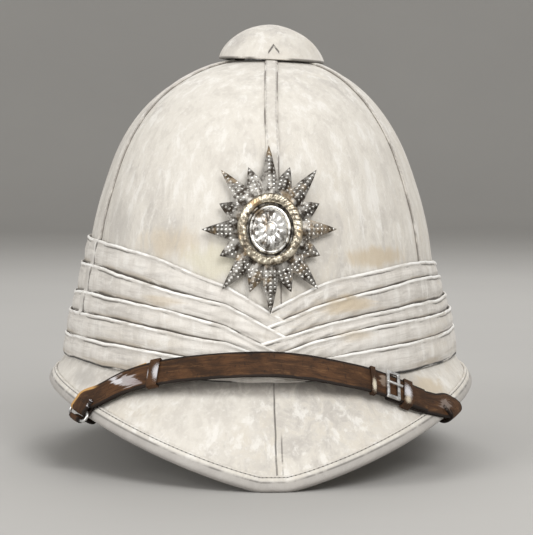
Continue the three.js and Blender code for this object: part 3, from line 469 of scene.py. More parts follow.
class ClothFinish(Finish):
    """Cotton cloth under a brushed white paste; weave is the width of its thread pattern."""

    def __init__(self, name, white=WHITE, stroke=(1, 1, 0.35), weave=0.9):
        super().__init__(name, roughness=0.86)
        self.patches = self.noise(self.spot, scale=19, detail=5, roughness=0.6, distortion=0.4)
        brushed = self.place("Object", stroke)
        self.strokes = self.noise(brushed, scale=95, detail=7, roughness=0.68, distortion=0.9)
        slanted = self.place("Object", SLANT_STRETCH, SLANT_TURN)
        dabs = self.noise(slanted, scale=58, detail=8, roughness=0.66, distortion=0.25)
        cover = self.noise(self.spot, scale=7, detail=4, roughness=0.6, distortion=0.5)
        fine = self.noise(self.spot, scale=420, detail=3, roughness=0.6)
        self.colour = white
        self.paint(self.patches.between(0.42, 0.66) * self.strokes.between(0.38, 0.66) * 0.85, GREY)
        self.paint(cover.between(0.46, 0.62) * self.strokes.between(0.56, 0.4) * 0.5, WARM)
        self.paint(dabs.between(0.50, 0.62) * 0.5, DAB)
        self.paint(dabs.between(0.48, 0.36) * 0.7, CHALK)
        self.paint(fine.between(0.52, 0.75) * 0.4, CHALK)
        on_cloth = self.place("UV")
        self.across = self.along(on_cloth, 0)
        self.up = self.along(on_cloth, 1)
        threads = {"Vector": on_cloth, "Scale": BAND_TO_LENGTH / (weave * MM)}
        warp = self.node("ShaderNodeTexWave", {"bands_direction": "X"}, threads)
        weft = self.node("ShaderNodeTexWave", {"bands_direction": "Y"}, threads)
        self.bump(warp.maths("MAXIMUM", weft), strength=0.3, depth=0.12)
        self.bump(self.strokes, strength=0.8, depth=0.7)
        self.bump(dabs, strength=0.8, depth=0.9)
        self.bump(self.patches, strength=0.35, depth=1.4)
        self.shader.inputs["Sheen Weight"].default_value = 0.1

    def blot(self, middle, reach, colour, strength=0.8):
        """A soft blot with a ragged rim round a point of the helmet."""
        ragged = self.reaches_from(middle, reach) + (self.strokes - 0.5) * BLOT_RAGGEDNESS
        self.paint(ragged.between(1.05, 0.35) * strength, colour)

    def dressed(self):
        self.set("Base Color", self.colour)
        self.set("Roughness", 0.74 + 0.2 * self.strokes)
        print(self.material.name, "has", len(self.tree.nodes), "nodes")
        return self

# %% [markdown]
# ## The crown's own cloth
# Dust has settled on the crown just above the scarf, more on the right than on the left, and a little has
# yellowed, and a grey blot down the left side is painted shade. Each blot has its middle, its reach along the
# three axes, its colour and its strength.

# %% Crown cloth
OCHRE = (0.52, 0.425, 0.295)
YELLOWED = (0.62, 0.58, 0.42)
SHADE = (0.36, 0.34, 0.315)
CROWN_STAINS_AND_SHADE = [
    ((-62, -118, 128), (30, 30, 13), OCHRE, 0.55),
    ((-30, -128, 118), (26, 30, 12), YELLOWED, 0.5),
    ((66, -108, 119), (34, 30, 7), OCHRE, 0.75),
    # painted shade down the crown's left side
    ((-84, -92, 140), (12, 40, 22), SHADE, 0.5),
    ((-70, -70, 205), (12, 30, 9), WARM, 0.6),
]
drill = ClothFinish("whitened_drill")
for blot in CROWN_STAINS_AND_SHADE:
    drill.blot(*blot)
drill.dressed()

# %% [markdown]
# ## Where the scarf's folds lie
# The scarf hides the joint of crown and brim, and nearly everything low on the helmet is placed from
# its folds. One table gives the height of six folds at turns all round: in front they dip to a V.

# %% Fold heights of the scarf
FOLDS = [
    (-120, 125.5, 111, 95, 84, 70.7, 59), (-90, 127, 111.7, 94.8, 83.9, 70.6, 58),
    (-65, 126, 112, 97, 85.2, 71.5, 58.5), (-50, 123.3, 108.7, 95.3, 84.1, 70.8, 57.2),
    (-35, 118.5, 103.7, 92.4, 81.3, 69, 55.5), (-20, 109.5, 97.8, 87, 77, 66, 54.3),
    (-10, 103, 93.5, 82, 74.3, 64.2, 53.7), (0, 93, 84, 75, 69.5, 62, 53.5),
    (10, 101.8, 91.5, 81.2, 74.4, 64.5, 53.7), (20, 107.7, 96.8, 85.6, 78.5, 67.5, 54),
    (35, 111.8, 101.6, 89.5, 82.5, 70.3, 54.8), (50, 114.4, 105, 91.8, 83.9, 72, 56.5),
    (65, 114, 105.5, 92.4, 84.6, 73.6, 57.5), (90, 110.6, 102.5, 92.8, 84.8, 74.2, 57.5),
    (120, 113, 103.5, 93, 84.5, 73, 59), (150, 117, 106, 94, 84.5, 72, 60.5),
    (180, 120, 108, 95, 84.5, 71.5, 61), (210, 123, 109.5, 95, 84, 71, 60.5),
    (240, 125.5, 111, 95, 84, 70.7, 59),
]
TOP_FOLD = 1
BOTTOM_FOLD = 6


def fold_height(turn, fold):
    """The height of a fold's upper edge at a turn; fold 6 is the scarf's lower edge."""
    key = (turn + 90) % 360 - 90
    return between(FOLDS, fold, key - 360 if key > 240 else key)


print("the top fold dips to", fold_height(0, TOP_FOLD), "mm in front")

# %% [markdown]
# ## The crown
# The crown is a shell of cork under cloth. Its cloth is a grid that goes once round, closed into a
# ring, with the rows from above the brim's joint up to the hole for the vent, and it is given the
# wall's thickness inwards. The joint with the brim is hidden under the scarf.

# %% Crown shell
CROWN_WALL = 3.5
BRIM_TOP_ABOVE_FOLDS = 22
JOINT_GAP = 0.4
CROWN_TOP_HEIGHT = 229.8
CROWN_GRID = (180, 90)
CROWN_CLOTH = (690, 240)


def crown_lay(along, up):
    turn = along * 360
    low = fold_height(turn, BOTTOM_FOLD) + BRIM_TOP_ABOVE_FOLDS + JOINT_GAP
    height = low + (CROWN_TOP_HEIGHT - low) * math.sin(up * math.pi / 2)
    return crown_point(turn, height)


crown = laid_cloth("crown_shell", *CROWN_GRID, CROWN_CLOTH, crown_lay, ring=True)
thicken(crown, CROWN_WALL, rim=0.4)
CROWN_PANELS = ["front_right", "right", "rear_right", "rear_left", "left", "front_left"]
finished(crown, drill, "white_cloth", *[f"crown_{name}" for name in CROWN_PANELS])

# %% [markdown]
# ## The brim
# The brim leaves the crown in a short flare and falls to its edge, far in front for the peak, less
# behind for the neck. A place on it is a share of the way down a straight line from its root to its
# edge, bowed out a little in front and behind.

# %% Brim form
BRIM_HALF_WIDTH = 123.6
BRIM_FRONT_REACH = 169
BRIM_REAR_REACH = 184
BRIM_SIDE_RISE = 41.5
BRIM_EDGE_LIFT = 2.6
FRONT_EDGE_POWER = 1.22
REAR_EDGE_POWER = 2.2
FRONT_FLAT_SHARE = 0.035
REAR_FLAT_SHARE = 0.06
BRIM_WALL = 3
BRIM_BOW = 1.6
FLARE_HEIGHT = 11
FLARE_REACH = 7.9
UP = Vector((0, 0, 1))


def edge_point(turn):
    """The brim's edge at a turn: pointed in front, round behind and lifted at the sides."""
    angle = math.radians(turn)
    reach = (BRIM_FRONT_REACH + BRIM_REAR_REACH) / 2
    reach += (BRIM_FRONT_REACH - BRIM_REAR_REACH) / 2 * math.cos(angle)
    side = abs(math.sin(angle))
    is_front = math.cos(angle) > 0
    flat, power = (FRONT_FLAT_SHARE, FRONT_EDGE_POWER) if is_front else (REAR_FLAT_SHARE, REAR_EDGE_POWER)
    share = max(0, (1 + flat) * side ** power - flat)
    return Vector((
        BRIM_HALF_WIDTH * math.sin(angle),
        CENTRE_SHIFT_Y - reach * math.cos(angle),
        BRIM_EDGE_LIFT + BRIM_SIDE_RISE * share,
    ))


def root_point(turn):
    """Where the brim leaves the crown, under the scarf."""
    return crown_point(turn, fold_height(turn, BOTTOM_FOLD) - 1) + outward(turn) * FLARE_REACH


def brim_point(turn, share, offset=0.0):
    """A point of the brim's outer face: 0 is its root under the scarf, 1 is its edge."""
    root = root_point(turn)
    slope = edge_point(turn) - root
    flat = Vector((slope.x, slope.y, 0)).normalized()
    facing = (flat * -slope.z + UP * math.hypot(slope.x, slope.y)).normalized()
    bow = BRIM_BOW * abs(math.cos(math.radians(turn))) * 4 * share * (1 - share)
    point = root + slope * share + facing * bow
    return point + brim_normal(turn, share) * offset if offset else point


def brim_normal(turn, share):
    along = brim_point(turn + 1, share) - brim_point(turn - 1, share)
    rise = brim_point(turn, share - 0.02) - brim_point(turn, share + 0.02)
    return along.cross(rise).normalized()


print("the peak reaches", round(-edge_point(0).y), "mm forward")

# %% [markdown]
# ## The brim's cloth
# The peak is covered in two pieces with a seam down its middle, beside which a short second line shows. A
# grey band just below the strap is its painted shadow, and a grey blot on the brim's left is painted shade.
# These marks belong to places of the helmet, so they are drawn on its X, Y and Z, and a little drift keeps
# the lines from being ruled.

# %% Brim cloth
GRIME_AND_SHADE = (0.11, 0.10, 0.09)
LINE_GREY = (0.16, 0.145, 0.13)
STRAP_SHADOW_GREY = (0.30, 0.275, 0.245)
PEAK_SEAM_X = 1.5
PEAK_SEAM_WIDTH = 0.45
PEAK_LAP = 3.2
SEAM_DRIFT = 1.6

brim_cloth = ClothFinish("whitened_brim", stroke=(1, 0.45, 1))
brim_x, brim_y, brim_z = (brim_cloth.along(brim_cloth.spot, axis) for axis in range(3))
drifted_x = brim_x + (brim_cloth.noise(brim_cloth.spot, scale=40, detail=2) - 0.5) * (SEAM_DRIFT * MM)
worn = brim_cloth.strokes.between(0.3, 0.5)
seam_line = drifted_x.line(PEAK_SEAM_X * MM, PEAK_SEAM_WIDTH * 1.3 * MM, PEAK_SEAM_WIDTH * 0.5 * MM)
seam_line = seam_line * brim_y.between(-118 * MM, -122 * MM)
brim_cloth.paint(seam_line * (0.5 + 0.5 * worn) * 0.85, GRIME_AND_SHADE)
brim_cloth.bump(1 - seam_line, strength=0.8, depth=0.5)
short_line = drifted_x.line((PEAK_SEAM_X + PEAK_LAP) * MM, 0.6 * MM, 0.2 * MM)
brim_cloth.paint(short_line * brim_y.between(-158 * MM, -163 * MM) * worn * 0.8, LINE_GREY)
# painted shadow of the strap, a grey band on the peak just below it
strap_shadow = brim_z.between(44.5 * MM, 48.5 * MM) * brim_z.between(75 * MM, 60 * MM)
strap_shadow = strap_shadow * brim_y.between(-100 * MM, -115 * MM)
brim_cloth.paint(strap_shadow * (0.35 + 0.5 * brim_cloth.strokes.between(0.3, 0.6)), STRAP_SHADOW_GREY)
brim_cloth.blot((88, -100, 44), (18, 22, 10), OCHRE, 0.6)
# painted shade on the brim's left side
brim_cloth.blot((-100, -80, 50), (14, 22, 8), SHADE, 0.6)
brim_cloth.dressed()

# %% [markdown]
# ## The brim's shell
# The shell is the same kind of grid as the crown. Its top rows stand on the crown's own face, up to
# the joint, and the rest go down the brim.

# %% Brim
BRIM_GRID = (240, 26)
BRIM_CLOTH = (820, 75)
NECK_SHARE = 0.3


def brim_lay(along, up):
    turn = along * 360
    bottom = fold_height(turn, BOTTOM_FOLD)
    down = 1 - up
    if down < NECK_SHARE:
        share = down / NECK_SHARE
        height = bottom + BRIM_TOP_ABOVE_FOLDS - share * (BRIM_TOP_ABOVE_FOLDS - FLARE_HEIGHT)
        return crown_point(turn, height)
    return brim_point(turn, (down - NECK_SHARE) / (1 - NECK_SHARE))


brim = laid_cloth("brim_shell", *BRIM_GRID, BRIM_CLOTH, brim_lay, ring=True)
thicken(brim, BRIM_WALL, rim=0.3)
finished(brim, brim_cloth, "white_cloth", "brim")

# %% [markdown]
# ## The edge binding
# A strip of the same drill is folded over the brim's edge and sewn through near its inner edges. Its
# section is a short list of places measured outwards from the edge and up from the cloth, and the
# strip follows the edge once round with that section. Nothing may pass below the table top, so what
# would is pressed flat on it, as the real binding is where the helmet rests.

# %% Edge binding
BINDING_SECTION = [
    (-6.4, -3.6), (-6.2, -4.3), (-5.2, -4.45), (-3, -4.4), (-0.6, -4.45), (0.6, -4.3), (1.5, -3.6),
    (1.95, -2.4), (1.98, -1), (1.8, 0.2), (1.2, 1.0), (0.2, 1.42), (-1.4, 1.5), (-3.4, 1.42), (-4.6, 1.3),
    (-5.2, 1.12), (-5.6, 1.35), (-6.2, 1.3), (-6.5, 0.75), (-6.45, 0.1),
]
BINDING_COLUMNS = 320
BINDING_STRIP = (800, 24)
BINDING_WAVES = (0.12, 6), (0.1, 6)


def around_edge(turn, out, face):
    """A place near the brim's edge: out runs square off the edge, face away from the cloth."""
    normal = brim_normal(turn, 1)
    along = (edge_point(turn + 1) - edge_point(turn - 1)).normalized()
    return brim_point(turn, 1) + along.cross(normal) * out + normal * face


def binding_lay(along, up):
    turn = along * 360
    out, face = BINDING_SECTION[round(up * (len(BINDING_SECTION) - 1))]
    wave = ripple((turn, out * 3, face), *BINDING_WAVES[0], 2)
    wave += ripple((turn * 4, out, face), *BINDING_WAVES[1], 5)
    point = around_edge(turn, out, face + wave)
    point.z = max(point.z, 0)
    return point


rows = len(BINDING_SECTION) - 1
binding = laid_cloth("edge_binding", BINDING_COLUMNS, rows, BINDING_STRIP, binding_lay, ring=True)
thicken(binding, 0.7)

# %% [markdown]
# ## The binding's cloth
# The strip's UV map runs once round its section from below, so a share of that way is one line all round the
# helmet: the sewn line on top, the ridge of the fold, and everything below that, which is painted grey as
# shade.

# %% Binding cloth
UNDERSIDE_SHADE = (0.33, 0.31, 0.29)
SEWN_DARK = (0.075, 0.068, 0.06)
FOLD_DARK = (0.16, 0.15, 0.135)
SEWN_AT = 0.79
FOLD_AT = 0.655
BINDING_STITCH = 2.6

edge_cloth = ClothFinish("whitened_binding", stroke=(0.5, 0.5, 0.5))
round_the_section = edge_cloth.up / (BINDING_STRIP[1] * MM)
# painted shade over the underside, the rounded nose and the outermost strip of the top
below = round_the_section.between(0.70, 0.64)
edge_cloth.paint(below * (0.6 + 0.4 * edge_cloth.strokes), UNDERSIDE_SHADE)
sewn = round_the_section.line(SEWN_AT, 0.036, 0.016)
stitch_step = (edge_cloth.across * 1000).every(BINDING_STITCH)
thread = stitch_step.between(0.18, 0.3) * stitch_step.between(0.95, 0.85)
edge_cloth.paint(sewn * (0.6 + 0.4 * (1 - thread)) * 0.95, SEWN_DARK)
fold = round_the_section.line(FOLD_AT, 0.020, 0.006)
edge_cloth.paint(fold * edge_cloth.strokes.between(0.36, 0.54) * 0.75, FOLD_DARK)
edge_cloth.bump(1 - sewn * (1 - 0.7 * thread), strength=0.8, depth=0.35)
edge_cloth.dressed()
finished(binding, edge_cloth, "white_cloth", "brim_binding", angle=60)

# %% [markdown]
# ## The scarf
# The scarf is one long piece of muslin, folded and wound so that each turn lies a little lower and
# further out than the last. In front the turns from the two sides cross like a herringbone: each one
# ends under the lip of the next one down from the other side. One pleat is laid as a strip that starts
# just past the middle on one side, goes round the back, and ends just past the middle on the other.

# %% Pleat form
PLEAT_LIP_OFFSETS = [1.9, 3.8, 5.6, 7.5, 8.4]
PLEAT_END_OFFSETS = [2.3, 4.1, 5.9, 7.8, 8.9]
CROSSING_STEP = 0.9
CROSSING_SPREAD = 40
CROSSING_START = 12
CENTRE_RIGHT = [92.1, 84.1, 75.6, 67.5, 61]
CENTRE_LEFT = [91, 82.5, 71.3, 66.5, 60.5]
PLEAT_OVERRUN = 9
LIP_SHARE = 0.36
TUCK_SHARE = 0.9
TUCK = 3
FACE_START = 3.2
FACE_LIFT = 0.25
FACE_BULGE = 0.7
FACE_SAGS = (0.55, 13), (0.3, 4.5)
FACE_DRAG = 0.45
LIP_WAVES = (0.55, 8), (0.2, 2.4)
LOWEST_PLEAT = 4
PLEAT_SECTION = [
    (0.00, 4.0, -1.5), (0.04, 1.6, -1.35), (0.08, 0.5, -1.0), (0.12, -0.15, -0.4), (0.16, -0.15, 0.2),
    (0.20, 0.3, 0.5), (0.24, 0.8, 0.55), (0.28, 1.35, 0.4), (0.32, 1.9, 0.15), (0.36, 3.2, 0.25),
]


def side_height(turn, fold, is_right):
    """A pleat's lip height near the front, where the two sides run past each other."""
    centre = (CENTRE_RIGHT if is_right else CENTRE_LEFT)[fold - 1]
    inward = turn if is_right else -turn
    if inward > CROSSING_START:
        return fold_height(turn, fold)
    start = fold_height(CROSSING_START if is_right else -CROSSING_START, fold)
    return start - (start - centre) / CROSSING_START * (CROSSING_START - inward)


def pleat_turn(along):
    """The turn at a place along a pleat, and whether that is on its right half."""
    travel = -PLEAT_OVERRUN + along * (360 + 2 * PLEAT_OVERRUN)
    is_right = travel < 180
    return (travel if is_right else travel - 360), is_right


def pleat_face(pleat, down, height, low):
    """How far below its lip and how far off the crown a place of a pleat is."""
    lip, end = PLEAT_LIP_OFFSETS[pleat], PLEAT_END_OFFSETS[pleat]
    is_lowest = pleat == LOWEST_PLEAT
    if down <= LIP_SHARE:
        at = max(next(place for place, row in enumerate(PLEAT_SECTION) if row[0] >= down - 1e-6), 1)
        before, after = PLEAT_SECTION[at - 1], PLEAT_SECTION[at]
        share = (down - before[0]) / (after[0] - before[0])
        return before[1] + (after[1] - before[1]) * share, lip + before[2] + (after[2] - before[2]) * share
    if down <= TUCK_SHARE or is_lowest:
        share = (down - LIP_SHARE) / ((1 if is_lowest else TUCK_SHARE) - LIP_SHARE)
        bulge = FACE_BULGE * math.sin(share * math.pi) * (1 - 0.5 * share)
        drop = FACE_START + (height - low - FACE_START) * share
        return drop, lip + FACE_LIFT + (end - lip - FACE_LIFT) * share + bulge
    return height - low + TUCK * (down - TUCK_SHARE) / (1 - TUCK_SHARE), end - 0.1


def pleat_lay(pleat):
    def lay(along, up):
        down = 1 - up
        turn, is_right = pleat_turn(along)
        side = 1 if is_right else -1
        height = side_height(turn, pleat + 1, is_right)
        is_lowest = pleat == LOWEST_PLEAT
        low = fold_height(turn, BOTTOM_FOLD) if is_lowest else side_height(turn, pleat + 2, is_right)
        drop, out = pleat_face(pleat, down, height, low)
        near_front = max(0, 1 - abs(turn) / CROSSING_SPREAD)
        lean = -side * CROSSING_STEP / 2 * near_front ** 0.5
        sag = ripple((turn, height, pleat * 40), *FACE_SAGS[0], pleat)
        sag += ripple((turn, down * 20, 0), *FACE_SAGS[1], pleat)
        drag = FACE_DRAG * near_front * math.sin((turn * 0.9 + drop * 1.3) * side)
        slack = min(1, down * 3)
        level = height - drop + ripple((turn, 0, 0), *LIP_WAVES[0], pleat + 3)
        level += ripple((turn, 0, 0), *LIP_WAVES[1], pleat)
        return crown_point(turn, level) + outward(turn) * (out + lean + (sag + drag * 0.6) * slack)

    return lay


print("a pleat steps out by", PLEAT_LIP_OFFSETS[1] - PLEAT_LIP_OFFSETS[0], "mm from the one above")

# %% [markdown]
# ## The scarf's muslin
# Muslin is finer than drill, and its streaks run along the pleat, so they are drawn on the UV map. From the
# bottom of a pleat to its top come painted shade in the crease where it goes under the next one, a streaked
# grey face that is painted darker as shade towards its foot and again just under the lip, a painted shadow
# line under the lip, and a painted highlight on the roll of the lip; the part tucked behind the lip is
# painted dark as shade.

# %% Muslin
MUSLIN_WHITE = (0.70, 0.665, 0.615)
MUSLIN_DUST = (0.42, 0.35, 0.26)
LIP_HIGHLIGHT = (0.88, 0.865, 0.83)
UNDER_LIP_SHADE = (0.12, 0.11, 0.095)
LIP_BACK_SHADE = (0.2, 0.18, 0.155)
SCARF_STAINS = [
    ((40, -120, 94), (26, 30, 6), OCHRE, 0.8), ((-60, -118, 96), (16, 30, 4), OCHRE, 0.5),
    ((46, -120, 78), (14, 30, 4), OCHRE, 0.5),
]
PLEAT_GRID = (480, 25)
PLEAT_STRIP = (780, 40)
LIP_TOP = 0.86
LIP_FOOT = 0.685


def pleated_muslin(name, crease_top, crease_foot, crease_shade):
    """The scarf's cloth, with the crease's painted shade at these shares of a pleat's height."""
    muslin = ClothFinish(name, MUSLIN_WHITE, stroke=(0.3, 0.3, 1.5), weave=0.6)
    up_pleat = muslin.up / (PLEAT_STRIP[1] * MM)
    streak = [muslin.across * 26, up_pleat * 5, muslin.patches]
    brush = muslin.noise(muslin.node("ShaderNodeCombineXYZ", None, streak), scale=1, detail=5, roughness=0.65)
    # painted shade, darker towards the pleat's foot, where the next pleat's lip hangs over it
    muslin.paint(up_pleat.between(0.42, 0.08) * brush.between(0.34, 0.6) * 0.55, SHADE)
    dusty = muslin.patches.between(0.46, 0.6) * up_pleat.between(0.30, 0.16)
    muslin.paint(dusty * brush.between(0.4, 0.55) * 0.6, MUSLIN_DUST)
    # painted shade, darker towards the lip, under its overhang
    muslin.paint(up_pleat.between(LIP_FOOT - 0.22, LIP_FOOT) * brush.between(0.45, 0.62) * 0.45, GREY)
    # painted shade in the crease where the pleat goes under the next one
    muslin.paint(up_pleat.between(crease_top, crease_foot) * brush.between(0.36, 0.5), crease_shade)
    muslin.paint(brush.between(0.44, 0.32) * 0.5, GREY)
    muslin.paint(brush.between(0.58, 0.68) * 0.6, CHALK)
    # a painted highlight on the roll of the lip
    lip_highlight = up_pleat.between(LIP_FOOT + 0.04, LIP_FOOT + 0.08)
    lip_highlight = lip_highlight * up_pleat.between(LIP_TOP + 0.02, LIP_TOP - 0.02)
    muslin.paint(lip_highlight * muslin.strokes.between(0.40, 0.54), LIP_HIGHLIGHT)
    # a thin painted shadow line just under the lip
    under_lip_shadow = up_pleat.line(LIP_FOOT, 0.03, 0.008)
    muslin.paint(under_lip_shadow * brush.between(0.54, 0.44) * 0.9, UNDER_LIP_SHADE)
    # painted shade on the part tucked behind the lip
    muslin.paint(up_pleat.between(LIP_TOP, LIP_TOP + 0.05) * 0.8, LIP_BACK_SHADE)
    for blot in SCARF_STAINS:
        muslin.blot(*blot)
    return muslin.dressed()


wound = pleated_muslin("pleated_muslin", 0.19, 0.12, (0.10, 0.085, 0.068))
lowest = pleated_muslin("lowest_pleat", 0.085, 0.045, (0.035, 0.032, 0.03))

# %% [markdown]
# ## Winding the scarf
# All five pleats are made by one loop. The lowest one isn't tucked under another, so it has the second cloth,
# whose painted crease shade is a thin dark line at its foot. The first one stands for the scarf of the CAD
# model.

# %% Pleats of the scarf
for pleat in range(LOWEST_PLEAT + 1):
    piece = laid_cloth(f"scarf_pleat_{pleat + 1}", *PLEAT_GRID, PLEAT_STRIP, pleat_lay(pleat))
    replaced = ["puggaree"] if pleat == 0 else []
    finished(piece, lowest if pleat == LOWEST_PLEAT else wound, "scarf_cloth", *replaced, angle=60)

# %% [markdown]
# ## The scarf's upright end
# On the wearer's right the scarf's end is turned under and sewn down upright across the pleats. It is a
# narrow strip that climbs over each lip in turn, so its distance from the crown steps out with them.

# %% Upright end
JOIN_TURN = -70
JOIN_WIDTH = 8
JOIN_HEIGHT = 42
JOIN_LIFT = 1.15
JOIN_GRID = (12, 90)
JOIN_WHITE = (0.60, 0.57, 0.53)
JOIN_DARK = (0.10, 0.09, 0.08)


def join_lay(along, up):
    """The strip climbs over each lip in turn, and its two edges are pressed down."""
    turn = JOIN_TURN + (along - 0.5) * math.degrees(JOIN_WIDTH / 108)
    top = fold_height(JOIN_TURN, 1) + 0.4
    foot = fold_height(JOIN_TURN, 4) - 1.5
    height = foot + (top - foot) * up
    pleat = max((place for place in range(4) if height <= fold_height(turn, place + 1) + 0.5), default=0)
    lip_height = fold_height(turn, pleat + 1)
    share = min(1, max(0, (lip_height + 0.5 - height) / 3))
    before = PLEAT_LIP_OFFSETS[pleat - 1] if pleat else 0.6
    reach = before + (PLEAT_LIP_OFFSETS[pleat] - before) * share ** 0.5 + JOIN_LIFT
    edge = min(along, 1 - along) * JOIN_WIDTH
    reach -= 0.7 * max(0, 1 - edge / 0.8) ** 2
    return crown_point(turn, height) + outward(turn) * (reach + ripple((height, along * 9, 0), 0.15, 4))


join_cloth = ClothFinish("upright_end", JOIN_WHITE, stroke=(0.6, 0.6, 0.5), weave=0.6)
from_right = join_cloth.across.between((JOIN_WIDTH - 1.5) * MM, (JOIN_WIDTH - 0.6) * MM)
join_cloth.paint(from_right * join_cloth.strokes.between(0.3, 0.5) * 0.9, JOIN_DARK)
join_cloth.dressed()
upright_end = laid_cloth("scarf_upright_end", *JOIN_GRID, (JOIN_WIDTH, JOIN_HEIGHT), join_lay)
thicken(upright_end, 0.5)
finished(upright_end, join_cloth, "scarf_cloth", "puggaree_join", angle=60)

# %% [markdown]
# ## The seam tapes
# The crown's cloth is cut in six panels, and a narrow tape is sewn over each seam. A tape is a grid as
# wide as the tape, laid up the crown at its turn. Its two stitch lines are only dark and slightly
# sunk, because at this size a thread is thinner than anything the grid could carry.

# %% Seam tapes
TAPE_WIDTH = 7.4
TAPE_LIFT = 0.55
TAPE_CLOTH = 0.8
TAPE_TOP = 229
TAPE_LENGTH = 130
TAPE_GRID = (10, 70)
TAPE_WHITE = (0.62, 0.585, 0.53)
TAPE_DARK = (0.12, 0.10, 0.085)
TAPE_STITCH = 2.4
STITCH_LINE_AT = 0.36
TAPES = {
    "tape_front": 1.4, "tape_front_right": 61, "tape_rear_right": 120, "tape_rear": 180,
    "tape_rear_left": -120, "tape_front_left": -70,
}


def tape_lay(turn):
    def lay(along, up):
        low = fold_height(turn, TOP_FOLD) - 0.5
        height = low + (TAPE_TOP - low) * math.sin(up * math.pi / 2)
        aside = (crown_point(turn + 1, height) - crown_point(turn - 1, height)).normalized()
        lift = TAPE_LIFT + TAPE_CLOTH * (1 - abs(2 * along - 1) ** 6)
        lift += ripple((height, along * 5, turn), 0.12, 7)
        across = (along - 0.5) * TAPE_WIDTH + ripple((height, turn, 0), 0.5, 16)
        return crown_point(turn, height, lift) + aside * across

    return lay


tape_cloth = ClothFinish("seam_tape", TAPE_WHITE, stroke=(1, 1, 0.25))
to_side = abs(tape_cloth.across / (TAPE_WIDTH * MM) - 0.5)
broken = tape_cloth.noise(tape_cloth.spot, scale=70, detail=3).between(0.36, 0.55)
middle_tape = tape_cloth.along(tape_cloth.spot, 0).line(4 * MM, 14 * MM, 10 * MM)
tape_cloth.paint(to_side.between(0.37, 0.45) * broken * (0.62 + 0.3 * middle_tape), TAPE_DARK)
stitch = (tape_cloth.up * 1000).every(TAPE_STITCH).between(0.25, 0.4)
stitch = stitch * to_side.line(STITCH_LINE_AT, 0.05, 0.02)
tape_cloth.paint(stitch * 0.3, SHADE)
tape_cloth.bump(1 - stitch, strength=0.7, depth=0.3)
tape_cloth.dressed()
for name, turn in TAPES.items():
    tape = laid_cloth(f"seam_{name}", *TAPE_GRID, (TAPE_WIDTH, TAPE_LENGTH), tape_lay(turn))
    thicken(tape, 0.6)
    finished(tape, tape_cloth, "white_cloth", name, angle=60)

# %% [markdown]
# ## The vent cap
# A cap covered in the same cloth stands over the hole in the crown's top. It starts as a ball that is
# cut through its middle and flattened. Its cut edge is closed by the wall's thickness, and in front a
# small pinch is sewn into the cloth, which is pushed in by moving the corners near it.

# %% Vent cap
CAP_RADIUS = 31
CAP_HEIGHT = 21
CAP_WALL = 2.4
CAP_BASE_HEIGHT = 229.6
CAP_FULLNESS = 4 / 3
CAP_SHIFT = 2
CAP_TILT = 2.6
PINCH_TURN = 6
PINCH_HEIGHT = 235.2
PINCH_REACH = 7
PINCH_DEPTH = 1.1
CAP_WAVE = (0.35, 14)
cap_middle_x, cap_middle_y = crown_oval(CROWN_TOP_HEIGHT)[:2]
cap_middle = Vector((cap_middle_x + CAP_SHIFT, cap_middle_y, CAP_BASE_HEIGHT))
cap_slope = math.tan(math.radians(CAP_TILT))

select_only()
bpy.ops.mesh.primitive_uv_sphere_add(segments=96, ring_count=48, radius=1)
cap = added("vent_cap")
start_edit()
bpy.ops.mesh.bisect(plane_co=(0, 0, 0), plane_no=(0, 0, 1), clear_inner=True)
bpy.ops.mesh.select_all(action="SELECT")
stretch_all(CAP_RADIUS, CAP_RADIUS, CAP_HEIGHT)
bpy.ops.transform.translate(value=cap_middle * MM)
end_edit()
pinch_way = Vector((math.sin(math.radians(PINCH_TURN)), -math.cos(math.radians(PINCH_TURN)), 0))
pinch = (cap_middle + pinch_way * CAP_RADIUS * 0.9) * MM
pinch.z = PINCH_HEIGHT * MM
for corner in cap.data.vertices:
    rise = max(corner.co.z / MM - CAP_BASE_HEIGHT, 0) / CAP_HEIGHT
    corner.co.z = (CAP_BASE_HEIGHT + CAP_HEIGHT * rise ** CAP_FULLNESS) * MM
    corner.co.z -= cap_slope * (corner.co.x - cap_middle.x * MM)
    away = (corner.co - cap_middle * MM).normalized()
    near = max(0, 1 - (corner.co - pinch).length / (PINCH_REACH * MM))
    corner.co -= away * (PINCH_DEPTH * MM * near ** 2)
    corner.co += away * (MM * ripple(corner.co / MM, *CAP_WAVE, 4))
thicken(cap, CAP_WALL, rim=0.7, segments=3)

# %% [markdown]
# ## The cap's cloth
# The pinch shows as a small dark peak, two lines that lean together, and a line of painted shade runs along
# the cap's rim at both sides, where the gap under it is dark. Both are drawn on the cap's own height and
# width.

# %% Cap cloth
PINCH_X = 6.2
PINCH_TOP = 2.6
PINCH_STEEPNESS = 1.35
RIM_SHADE_X = 5
cap_cloth = ClothFinish("whitened_cap", stroke=(0.6, 0.6, 0.6))
cap_x = cap_cloth.along(cap_cloth.spot, 0) * 1000
cap_z = cap_cloth.along(cap_cloth.spot, 2) * 1000
from_pinch = abs(cap_x + (cap_cloth.strokes - 0.5) * 1.2 - PINCH_X)
arms = (from_pinch * PINCH_STEEPNESS + cap_z).line(PINCH_HEIGHT + PINCH_TOP, 1.1, 0.5)
arms = arms * from_pinch.between(3.4, 2.8) * cap_cloth.along(cap_cloth.spot, 1).between(-30 * MM, -40 * MM)
cap_cloth.paint(arms * cap_cloth.strokes.between(0.3, 0.42) * 0.95, GRIME_AND_SHADE)
cap_cloth.bump(1 - arms, strength=0.9, depth=0.5)
above_rim = cap_z + cap_x * cap_slope
